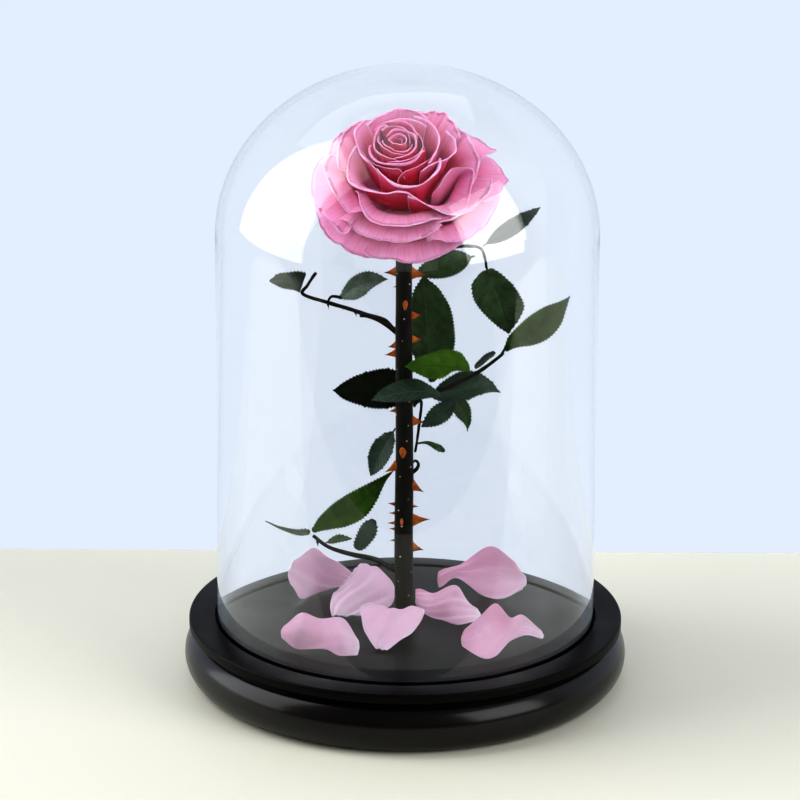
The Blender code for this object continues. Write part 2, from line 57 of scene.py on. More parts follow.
# %% Smooth curves
def bezier(points, t):
    """Points of the curve of four control points, at each t from 0 to 1."""
    a, b, c, d = (np.asarray(p, float) for p in points)
    t = np.asarray(t, float)[..., None]
    s = 1 - t
    return s ** 3 * a + 3 * s * s * t * b + 3 * s * t * t * c + t ** 3 * d


def through(points, t):
    """Points of the smooth curve through the given ones, at each t from 0 to 1."""
    points = np.asarray(points, float)
    padded = np.concatenate([[2 * points[0] - points[1]], points, [2 * points[-1] - points[-2]]])
    scaled = np.asarray(t, float) * (len(points) - 1)
    k = np.minimum(scaled.astype(int), len(points) - 2)
    a, b, c, d = padded[k], padded[k + 1], padded[k + 2], padded[k + 3]
    t = (scaled - k).reshape(k.shape + (1,) * (points.ndim - 1))
    square, cube = 2 * a - 5 * b + 4 * c - d, 3 * b - a - 3 * c + d
    return 0.5 * (2 * b + (c - a) * t + square * t * t + cube * t ** 3)


def unit(vectors):
    vectors = np.asarray(vectors, float)
    return vectors / np.linalg.norm(vectors, axis=-1, keepdims=True)


def smooth_noise(seed, places, waves=5, fastest=4.0):
    """Gentle wandering line, between about -1 and 1, that is the same each time for one seed."""
    rng = np.random.default_rng(seed)
    speeds = rng.uniform(0.6, fastest, waves)
    shares = rng.uniform(0.4, 1.0, waves) / speeds ** 0.5
    shifts = rng.uniform(0, 2 * math.pi, waves)
    waved = np.sin(math.pi * np.asarray(places)[..., None] * speeds + shifts) * shares
    return waved.sum(-1) / shares.sum() * 1.6


print("midpoint of a test curve:", bezier(((0, 0), (1, 0), (1, 1), (0, 1)), 0.5))

# %% [markdown]
# ## Helpers for meshes
# Petals and leaves are thin sheets. Each one starts as a grid of points, gets a second grid a little
# behind it, and a rim between the two, so that the mesh is closed and has a real edge. The grid's own
# directions become the UV map: x runs across the sheet and y runs from its root to its tip, and the
# materials use them to paint veins and rims. The attribute "behind" is 1 on the back.

# %% Sheets, rods and turned forms
def linked(name, data):
    """New object that shows the data, in the scene."""
    obj = bpy.data.objects.new(name, data)
    bpy.context.scene.collection.objects.link(obj)
    return obj


def mesh_object(name, points, faces, material, uv=None, behind=None):
    """Object of points in millimetres, smooth shaded, with an optional UV pair for each point."""
    mesh = bpy.data.meshes.new(name)
    mesh.from_pydata((np.asarray(points, float) * MM).tolist(), [], faces)
    mesh.materials.append(material)
    if uv is not None:
        corner = np.empty(len(mesh.loops), np.int32)
        mesh.loops.foreach_get("vertex_index", corner)
        pairs = np.asarray(uv, np.float32)[corner].ravel()
        mesh.uv_layers.new(name="UVMap").data.foreach_set("uv", pairs)
    if behind is not None:
        marks = mesh.attributes.new("behind", "FLOAT", "POINT")
        marks.data.foreach_set("value", np.asarray(behind, np.float32))
    mesh.shade_smooth()
    return linked(name, mesh)


def grid_faces(height, width, start=0, flip=False):
    corner = start + np.arange(height * width).reshape(height, width)
    quads = np.stack([corner[:-1, :-1], corner[1:, :-1], corner[1:, 1:], corner[:-1, 1:]], -1).reshape(-1, 4)
    return quads[:, ::-1] if flip else quads


def sheet(name, grid, thickness, material):
    """Closed sheet whose front is the grid and whose back lies one thickness behind it."""
    height, width = grid.shape[:2]
    back = unit(np.cross(np.gradient(grid, axis=0), np.gradient(grid, axis=1)))
    points = np.concatenate([grid.reshape(-1, 3), (grid + back * thickness).reshape(-1, 3)])
    count = height * width
    number = np.arange(count).reshape(height, width)
    # Once round the front's border, which the rim joins to the same points of the back
    loop = np.concatenate([number[0, :-1], number[:-1, -1], number[-1, :0:-1], number[:0:-1, 0]])
    after = np.roll(loop, -1)
    rim = np.stack([loop, loop + count, after + count, after], -1)
    faces = np.concatenate([grid_faces(height, width, count), grid_faces(height, width, 0, True), rim])
    v, u = np.meshgrid(np.linspace(0, 1, height), np.linspace(0, 1, width), indexing="ij")
    uv = np.tile(np.stack([u, v], -1).reshape(-1, 2), (2, 1))
    return mesh_object(name, points, faces.tolist(), material, uv, np.repeat((0.0, 1.0), count))


def rod(name, axis, radii, material, sides):
    """Round rod along the axis, its two ends closed by a fan."""
    axis, radii = np.asarray(axis, float), np.asarray(radii, float)
    ahead = unit(np.gradient(axis, axis=0))
    hint = unit(np.cross(axis[-1] - axis[0], (0.3, 1.0, 0.1)))
    side = unit(hint - ahead * (ahead @ hint)[:, None])
    up = np.cross(ahead, side)
    turn = np.linspace(0, 2 * math.pi, sides, endpoint=False)
    ring = side[:, None] * np.cos(turn)[None, :, None] + up[:, None] * np.sin(turn)[None, :, None]
    rings = axis[:, None] + radii[:, None, None] * ring
    points = np.concatenate([rings.reshape(-1, 3), axis[:1], axis[-1:]])
    n, count = len(axis), len(axis) * sides
    k = np.arange(sides)
    after = (k + 1) % sides
    rows = (np.arange(n - 1) * sides)[:, None]
    quads = np.stack([rows + k, rows + after, rows + after + sides, rows + k + sides], -1)
    faces = quads.reshape(-1, 4).tolist()
    # The last two points are the middles of the two end fans
    faces += [[count, b, a] for a, b in zip(k, after)]
    faces += [[count + 1, count - sides + a, count - sides + b] for a, b in zip(k, after)]
    uv = np.stack(np.broadcast_arrays((k / sides)[None, :], np.linspace(0, 1, n)[:, None]), -1)
    uv = np.concatenate([uv.reshape(-1, 2), [[0.5, 0.0], [0.5, 1.0]]])
    return mesh_object(name, points, faces, material, uv)


def turned(name, profile, segments, material):
    """Turned form, from a profile in millimetres that runs down the outside from axis to axis."""
    mesh = bpy.data.meshes.new(name)
    mesh.from_pydata([(MM * r, 0.0, MM * z) for r, z in profile],
                     [(i, i + 1) for i in range(len(profile) - 1)], [])
    mesh.materials.append(material)
    obj = linked(name, mesh)
    screw = obj.modifiers.new("turn", "SCREW")
    screw.steps = screw.render_steps = segments
    screw.use_merge_vertices = True
    screw.merge_threshold = 1e-6
    plain_mesh(obj)
    obj.data.shade_smooth()
    obj.data.set_sharp_from_angle(angle=math.radians(35))
    return obj


def plain_mesh(obj):
    """Puts the finished mesh of the modifiers in place of the modifiers."""
    graph = bpy.context.evaluated_depsgraph_get()
    made = bpy.data.meshes.new_from_object(obj.evaluated_get(graph), preserve_all_data_layers=True,
                                           depsgraph=graph)
    obj.modifiers.clear()
    obj.data = made
    return obj


def joined(name, pieces):
    """One object of several."""
    with bpy.context.temp_override(active_object=pieces[0], selected_editable_objects=pieces):
        bpy.ops.object.join()
    pieces[0].name = pieces[0].data.name = name
    return pieces[0]


def place(obj, slot, *nodes):
    """The finished piece rides on the model and stands for its plain solids."""
    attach(obj, "root")
    if nodes:
        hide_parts(*nodes)
    return obj


print("mesh helpers ready")

# %% [markdown]
# ## Helpers for materials
# Every finish is a Principled shader with a few texture nodes in front of it, and the scattered things
# and the sky are node trees too. One small class makes a node and links its inputs, which keeps all of
# these trees short to write. The finish adds what only a material needs.

# %% Node helpers
class Nodes:
    """A node tree under construction. An input takes a plain value or the output of another node."""

    def __init__(self, tree):
        self.tree = tree

    def feed(self, socket, value):
        if isinstance(value, bpy.types.NodeSocket):
            self.tree.links.new(value, socket)
        else:
            socket.default_value = value

    def node(self, kind, inputs=(), **settings):
        made = self.tree.nodes.new(kind)
        for key, value in settings.items():
            setattr(made, key, value)
        for key, value in dict(inputs).items():
            self.feed(made.inputs[key], value)
        return made

    def out(self, kind, inputs=(), **settings):
        """First output of a new node."""
        return self.node(kind, inputs, **settings).outputs[0]

    def math(self, operation, a, b=0.0, c=0.0):
        return self.out("ShaderNodeMath", {0: a, 1: b, 2: c}, operation=operation)

    def mix(self, factor, a, b):
        return self.node("ShaderNodeMix", {0: factor, 6: a, 7: b}, data_type="RGBA").outputs[2]

    def span(self, value, low, high, to_low=0.0, to_high=1.0):
        """Smooth step of a value between two others."""
        inputs = {"Value": value, "From Min": low, "From Max": high, "To Min": to_low, "To Max": to_high}
        return self.out("ShaderNodeMapRange", inputs, interpolation_type="SMOOTHSTEP")


class Finish(Nodes):
    """A material under construction: its node tree and its Principled shader."""

    def __init__(self, name, **values):
        self.material = bpy.data.materials.new(name)
        self.material.use_nodes = True
        super().__init__(self.material.node_tree)
        self.shader = self.tree.nodes["Principled BSDF"]
        for key, value in values.items():
            self.shader.inputs[key.replace("_", " ")].default_value = value

    def noise(self, vector, scale, detail=3.0, rough=0.5):
        inputs = {"Vector": vector, "Scale": scale, "Detail": detail, "Roughness": rough}
        return self.node("ShaderNodeTexNoise", inputs).outputs["Fac"]

    def stretched(self, vector, scale):
        return self.out("ShaderNodeMapping", {"Vector": vector, "Scale": scale})

    def ramp(self, value, *stops):
        made = self.node("ShaderNodeValToRGB", {"Fac": value})
        stops_of = made.color_ramp.elements
        while len(stops_of) < len(stops):
            stops_of.new(0.5)
        for element, (position, colour) in zip(stops_of, stops):
            element.position, element.color = position, (*colour, 1.0)
        return made.outputs["Color"]

    def bump(self, height, strength, distance):
        inputs = {"Height": height, "Strength": strength, "Distance": distance}
        self.feed(self.shader.inputs["Normal"], self.out("ShaderNodeBump", inputs))

    def colour(self, value):
        self.feed(self.shader.inputs["Base Color"], value)


def object_place(finish):
    return finish.node("ShaderNodeTexCoord").outputs["Object"]


def sheet_place(finish):
    """The UV map of a sheet, and its two parts: across and along."""
    uv = finish.out("ShaderNodeUVMap", uv_map="UVMap")
    parts = finish.node("ShaderNodeSeparateXYZ", {0: uv})
    return uv, parts.outputs[0], parts.outputs[1]


def behind_mark(finish):
    return finish.node("ShaderNodeAttribute", attribute_name="behind").outputs["Fac"]


print("node helpers ready")

# %% [markdown]
# ## Dark wood
# The base is lacquered wood, almost black with a breath of brown. Most of what the eye sees is the
# lacquer: a dark colour, a second clear layer on top, and a little unevenness so that long highlights
# break up as they do over real pores. The plate has only a thin satin coat, and the bead is polished.

# %% Material: dark wood
def dark_wood(name, coat, specular):
    wood = Finish(name, Roughness=0.4, Coat_Weight=coat, Coat_Roughness=0.2, Specular_IOR_Level=specular)
    at = object_place(wood)
    grain = wood.noise(wood.stretched(at, (40, 420, 420)), 1.0, 4.0, 0.6)
    cloud = wood.noise(at, 22.0, 2.0)
    colour = wood.ramp(grain, (0.3, (0.0008, 0.0005, 0.0003)), (0.62, (0.002, 0.0011, 0.0007)),
                       (0.8, (0.006, 0.003, 0.002)))
    wood.colour(wood.mix(wood.span(cloud, 0.35, 0.7, 0.0, 0.35), colour, (0.003, 0.0018, 0.0012, 1.0)))
    wood.feed(wood.shader.inputs["Roughness"], wood.span(cloud, 0.3, 0.7, 0.36, 0.5))
    wood.bump(grain, 0.12, 0.0002)
    return wood.material


DARK_WOOD = dark_wood("dark_wood", 0.06, 0.10)
POLISHED_WOOD = dark_wood("polished_wood", 0.7, 0.08)
print("made", DARK_WOOD.name, POLISHED_WOOD.name)

# %% [markdown]
# ## The base
# The base is a disc turned on a lathe: a flat top with a groove that holds the dome, a square lip with
# eased edges, a narrow quirk, and a fat round bead that stands on the table. A lathe turns a profile
# about an axis, and the Screw modifier does just that, with the rounded edges drawn in the profile itself.

# %% The turned base
BASE_HEIGHT = 32.3
BEAD_RADIUS, BEAD_INSET = 110.0, 12.0
LIP_RADIUS, FASCIA_HEIGHT = 107.8, 4.7
QUIRK_DEPTH, QUIRK_HEIGHT = 2.6, 1.0
SOCKET_EASE, GROOVE_EASE, LIP_EASE, FASCIA_EASE = 0.3, 0.5, 1.1, 0.4
GROOVE_DEPTH, GROOVE_CLEARANCE = 6.0, 1.0
SOCKET_RADIUS, SOCKET_DEPTH = 5.6, 8.0
DOME_RADIUS, DOME_WALL = 93.8, 3.0
DOME_SPRING, DOME_TOP = 230.5, 313.1
TURNING_STEPS = 192


def arc(centre, radii, start, end, count):
    return [(centre[0] + radii[0] * math.cos(a), centre[1] + radii[1] * math.sin(a))
            for a in np.radians(np.linspace(start, end, count))]


def eased(corner, size, start, end):
    """Small round in place of a sharp corner, about a centre one size in from it."""
    return arc(corner, (size, size), start, end, 6)


def make_base():
    inner, outer = DOME_RADIUS - DOME_WALL - GROOVE_CLEARANCE, DOME_RADIUS + GROOVE_CLEARANCE
    top, floor = BASE_HEIGHT, BASE_HEIGHT - GROOVE_DEPTH
    fascia = top - FASCIA_HEIGHT
    bead_top = fascia - QUIRK_HEIGHT
    profile = [(0.0, top - SOCKET_DEPTH), (SOCKET_RADIUS, top - SOCKET_DEPTH),
               (SOCKET_RADIUS, top - SOCKET_EASE), (SOCKET_RADIUS + SOCKET_EASE, top)]
    profile += eased((inner - GROOVE_EASE, top - GROOVE_EASE), GROOVE_EASE, 90, 0)
    profile += [(inner, floor), (outer, floor)]
    profile += eased((outer + GROOVE_EASE, top - GROOVE_EASE), GROOVE_EASE, 180, 90)
    profile += eased((LIP_RADIUS - LIP_EASE, top - LIP_EASE), LIP_EASE, 90, 0)
    profile += eased((LIP_RADIUS - FASCIA_EASE, fascia + FASCIA_EASE), FASCIA_EASE, 0, -80)
    profile += [(LIP_RADIUS - QUIRK_DEPTH, fascia - 0.2), (LIP_RADIUS - QUIRK_DEPTH, bead_top + 0.1)]
    half = 0.5 * bead_top
    profile += arc((BEAD_RADIUS - BEAD_INSET, half), (BEAD_INSET, half), 62, -74, 40)
    profile += [(BEAD_RADIUS - BEAD_INSET, 0.0), (0.0, 0.0)]
    made = turned("turned_base", profile, TURNING_STEPS, DARK_WOOD)
    made.data.materials.append(POLISHED_WOOD)
    for face in made.data.polygons:
        face.material_index = int(face.center.z < MM * (bead_top + 0.05))
    return made


base = place(make_base(), "dark_wood", "base")
print("base faces:", len(base.data.polygons))

# %% [markdown]
# ## Clear glass
# Real glass needs little: full transmission, an index of refraction near 1.5 and a smooth surface.
# A trace of absorption inside it gives the faint grey-green that a thick rim shows.

# %% Material: clear glass
def clear_glass():
    glass = Finish("clear_glass", Base_Color=(1.0, 1.0, 1.0, 1.0), Roughness=0.0, IOR=1.48,
                   Transmission_Weight=1.0)
    absorb = glass.out("ShaderNodeVolumeAbsorption", {"Color": (0.72, 0.80, 0.83, 1.0), "Density": 9.0})
    glass.feed(glass.tree.nodes["Material Output"].inputs["Volume"], absorb)
    return glass.material


CLEAR_GLASS = clear_glass()
print("made", CLEAR_GLASS.name)

# %% [markdown]
# ## The dome
# The dome is blown glass with a straight wall and a crown that is half of a flattened ball. It has an
# inner and an outer skin, because light bends at both, and its foot is rounded where the fire has
# polished it. The profile runs down the outside, round the foot and up the inside. At the very top the
# wall is a little thicker, as blown glass is, and the Screw modifier turns this profile too.

# %% The glass dome
FOOT_GAP = 0.3
CROWN_DROP, CROWN_SPREAD = 0.5, 18.0


def make_dome():
    inner, foot = DOME_RADIUS - DOME_WALL, BASE_HEIGHT - GROOVE_DEPTH + FOOT_GAP
    half = 0.5 * DOME_WALL
    profile = arc((0, DOME_SPRING), (DOME_RADIUS, DOME_TOP - DOME_SPRING), 90, 0, 48)
    profile += arc((DOME_RADIUS - half, foot + half), (half, half), 0, -180, 13)
    inside = arc((0, DOME_SPRING), (inner, DOME_TOP - DOME_WALL - DOME_SPRING), 0, 90, 96)
    profile += [(r, z - CROWN_DROP * math.exp(-(r / CROWN_SPREAD) ** 2)) for r, z in inside]
    profile[0], profile[-1] = (0.0, DOME_TOP), (0.0, DOME_TOP - DOME_WALL - CROWN_DROP)
    return turned("blown_dome", profile, TURNING_STEPS, CLEAR_GLASS)


dome = place(make_dome(), "clear_glass", "glass_dome")
print("dome faces:", len(dome.data.polygons))

# %% [markdown]
# ## Petal pink
# A petal is palest at its rim and deep red towards its claw, partly its own colour and partly painted
# shade of the hollow. It carries fine veins that fan out along it. The UV map gives both directions, so
# a noise stretched along the petal draws the veins and a colour ramp along it fades the pink and paints
# that shade. Some light passes through the thin flesh, which the subsurface setting imitates. The heart
# is deep red almost up to its rims, painted shade between its tight petals, and fallen petals are paler.

# %% Material: petal pinks
def petal_pink(name, claw, body, rim, outside, vein_strength, stops=(0.54, 0.77, 0.89, 0.93, 0.985)):
    """Finish of a petal; the stops say how far up the claw's colour, two tones and the rim reach."""
    petal = Finish(name, Roughness=0.6, Subsurface_Weight=0.45, Subsurface_Scale=0.0014, Sheen_Weight=0.03,
                   Sheen_Roughness=0.4, Specular_IOR_Level=0.05)
    petal.shader.inputs["Sheen Tint"].default_value = (1.0, 0.55, 0.75, 1.0)
    petal.shader.inputs["Subsurface Radius"].default_value = (1.0, 0.5, 0.65)
    at = object_place(petal)
    uv, across, along = sheet_place(petal)
    veins = petal.noise(petal.stretched(uv, (46, 2.6, 1)), 1.0, 3.0, 0.6)
    fine = petal.noise(petal.stretched(uv, (150, 9, 1)), 1.0, 2.0)
    mottle = petal.noise(at, 95.0, 4.0, 0.6)
    # The claw's deep red and the blend above it: partly the petal's own colour, partly painted shade of the
    # hollow
    deep = tuple(0.6 * a + 0.4 * b for a, b in zip(claw, body))
    inside = petal.ramp(along, *zip(stops, (claw, deep, body, body, rim)))
    colour = petal.mix(petal.math("MULTIPLY", behind_mark(petal), 0.65), inside, (*outside, 1.0))
    side_rim = petal.span(petal.math("ABSOLUTE", petal.math("SUBTRACT", across, 0.5)), 0.485, 0.5)
    colour = petal.mix(petal.math("MULTIPLY", side_rim, 0.5), colour, (*rim, 1.0))
    shaded = petal.mix(petal.span(veins, 0.42, 0.62, 0.0, vein_strength), colour, (*claw, 1.0))
    shaded = petal.mix(petal.span(mottle, 0.5, 0.75, 0.0, 0.22), shaded, (*rim, 1.0))
    petal.colour(shaded)
    petal.bump(petal.math("ADD", veins, petal.math("MULTIPLY", fine, 0.5)), 0.5, 0.0004)
    return petal.material


ROSE_PINK = petal_pink("rose_pink", (0.80, 0.03, 0.10), (0.90, 0.38, 0.65), (0.95, 0.66, 0.86),
                       (0.90, 0.46, 0.72), 0.18)
# The heart's ramp keeps the deep red close to the rims: painted shade between its tight petals
HEART_PINK = petal_pink("heart_pink", (0.76, 0.02, 0.07), (0.90, 0.38, 0.64), (0.95, 0.66, 0.86),
                        (0.88, 0.30, 0.55), 0.18, stops=(0.74, 0.88, 0.95, 0.965, 0.99))
PALE_PINK = petal_pink("pale_pink", (0.72, 0.42, 0.58), (0.80, 0.56, 0.71), (0.86, 0.70, 0.82),
                       (0.80, 0.58, 0.73), 0.14)
print("made", ROSE_PINK.name, HEART_PINK.name, PALE_PINK.name)

# %% [markdown]
# ## The shape of the bloom
# The bloom is a family of nested cups about one axis that nods towards the front. Cup 0 is the tight
# middle and cup 5 the lowest ring; a fraction lies between two cups. A petal is a patch of one cup:
# it has a direction, a width in degrees, and a reach. Because the cups never cross, petals on
# different cups never cross either.

# %% Nested cups
BLOOM_POLE = np.array((-1.0, -9.0, 251.0))
BLOOM_NOD = math.radians(28.0)
CUPS = (
    ((3.2, 7.0), (9.0, 14.0), (13.5, 28.0), (12.0, 41.0)),
    ((4.6, 4.6), (16.0, 10.0), (25.0, 24.0), (24.0, 37.0)),
    ((6.2, 2.9), (21.0, 4.0), (33.0, 16.0), (34.0, 30.0)),
    ((7.8, 1.2), (25.0, -1.0), (38.0, 8.0), (42.0, 20.0)),
    ((9.4, -0.6), (26.0, -5.0), (40.0, 0.0), (46.0, 10.0)),
    ((11.0, -2.4), (25.0, -8.0), (38.0, -5.5), (45.0, 0.5)),
)
BLOOM_FRONT = np.array((0.0, -math.cos(BLOOM_NOD), -math.sin(BLOOM_NOD)))
BLOOM_RIGHT = np.array((1.0, 0.0, 0.0))
BLOOM_AXIS = np.array((0.0, -math.sin(BLOOM_NOD), math.cos(BLOOM_NOD)))


def in_bloom(radius, height, direction):
    """World points, in millimetres, from a radius, a height on the axis and a direction in degrees."""
    turn = np.radians(direction)[..., None]
    out = np.cos(turn) * BLOOM_FRONT + np.sin(turn) * BLOOM_RIGHT
    return BLOOM_POLE + np.asarray(radius)[..., None] * out + np.asarray(height)[..., None] * BLOOM_AXIS


def on_cup(cup, along):
    """Radius and height on the nested cups."""
    low = np.clip(np.floor(cup).astype(int), 0, len(CUPS) - 2)
    every = np.stack([bezier(curve, along) for curve in CUPS])
    first = np.take_along_axis(every, low[None, ..., None], 0)[0]
    second = np.take_along_axis(every, low[None, ..., None] + 1, 0)[0]
    share = (cup - low)[..., None]
    return (1 - share) * first + share * second


print("the bloom nods", round(math.degrees(BLOOM_NOD)), "degrees")

# %% [markdown]
# ## Petals of the bloom
# Each petal is a fine grid. Its claw is narrow and stands on one cup. Its lip runs through listed
# pairs of direction and cup, so a side edge can tuck in under a neighbour and the middle can stand
# out. Below the lip the petal leans in, then bends outwards, and the rim rolls over a small radius. What
# the bend and the roll add is held back below, so the finished rim stands on the lip's points. A slow
# random wave moves the rim, most on the old outer petals.

# %% Petal grids
# Steps of the grid, and the length of a cup's curve
ALONG, ACROSS = 44, 84
CUP_LENGTH = 46.0
PETAL_THICKNESS = 0.36
# Share of its width that a petal has at its claw, and where on the way up its bend and its curl begin
BASE_SPREAD, LIP_START, CURL_START = 0.55, 0.6, 0.86
# Most that a petal leans in for each cup, the last cup that adds to it, and what scales its curve to 1
LEAN_IN, LAST_LEANING, LEAN_SCALE = 2.6, 3.5, 9.48
# How far the bend opens a petal for each unit of roll, and how ragged the old rims are
OPENING, RAGGED = 1.5, 0.22


def petal_grid(centre, claw, edge, drop, roll, curl, turn, wave, seed, tip=0.0):
    """Grid of one petal: rows run from its claw to its curled rim, columns from edge to edge."""
    v, u = np.meshgrid(np.linspace(0, 1, ALONG + 1), np.linspace(-1, 1, ACROSS + 1), indexing="ij")
    main = np.minimum(v / CURL_START, 1.0)
    # The lip, and the way the petal widens from its claw up to it
    ends = through(edge, 0.5 + 0.5 * u)
    spread = BASE_SPREAD + (1 - BASE_SPREAD) * np.sin(0.5 * math.pi * np.minimum(1.0, 1.15 * main))
    direction = centre + (ends[..., 0] - centre) * spread
    cup = claw + (ends[..., 1] - claw) * main ** 1.5
    # An uneven rim, and a ragged one on the old petals
    rim = 0.6 * smooth_noise(seed, u, 4, 5.0) + 0.4 * smooth_noise(seed + 50, u, 3, 14.0)
    rim = rim + RAGGED * max(0.0, wave - 0.7) * smooth_noise(seed + 70, u, 6, 46.0)
    outline = ends[..., 2] * (1 - drop * np.abs(u) ** 2.5)
    along = main * (outline * (1 + 0.010 * wave * rim) - curl / CUP_LENGTH)
    # The place on the cup, the direction along the petal, and the one out of the bloom
    place_here, place_on = on_cup(cup, along), on_cup(cup, along + 0.01)
    slope = unit(place_on - place_here)
    out = np.stack([slope[..., 1], -slope[..., 0]], -1)
    # How far the petal stands out from its cup
    ripple = wave * (0.55 * smooth_noise(seed + 9, 1.3 * u + 0.35 * v, 5, 4.0)
                     + 0.16 * smooth_noise(seed + 17, 2.0 * u + 0.2 * v, 5, 12.0)) * main ** 3
    inward = LEAN_IN * np.clip(cup, 0.0, LAST_LEANING) * LEAN_SCALE * main ** 3 * (1 - main)
    opened = OPENING * roll * np.maximum(0.0, (main - LIP_START) / (1 - LIP_START)) ** 2
    held_back = (OPENING * roll + curl * (1 - math.cos(math.radians(turn)))) * main ** 3
    lifted = opened - held_back + ripple - inward + tip * (1 - np.abs(u)) ** 2 * main ** 3
    # The rolled rim: an arc of the given radius over the last part of the way
    rolling = np.maximum(0.0, (v - CURL_START) / (1 - CURL_START))
    bend = np.radians(turn) * rolling * (1 + 0.25 * smooth_noise(seed + 31, u, 3, 3.0))
    rise = curl * (1 - np.cos(bend)) + lifted
    flat = place_here + slope * (curl * np.sin(bend))[..., None] + out * rise[..., None]
    return in_bloom(flat[..., 0], flat[..., 1], direction)


def lip(directions, cups, start=(), end=(), reach=1.0):
    """Lip of a petal. Its reach is the same all along, but for the first and the last few points."""
    middle = [reach] * (len(cups) - len(start) - len(end))
    return list(zip(directions, cups, [*start, *middle, *end]))


def even_lip(centre, half, cup, reach):
    """Lip of a petal that is the same on both sides."""
    return ((centre - half, cup, reach), (centre, cup, reach), (centre + half, cup, reach))


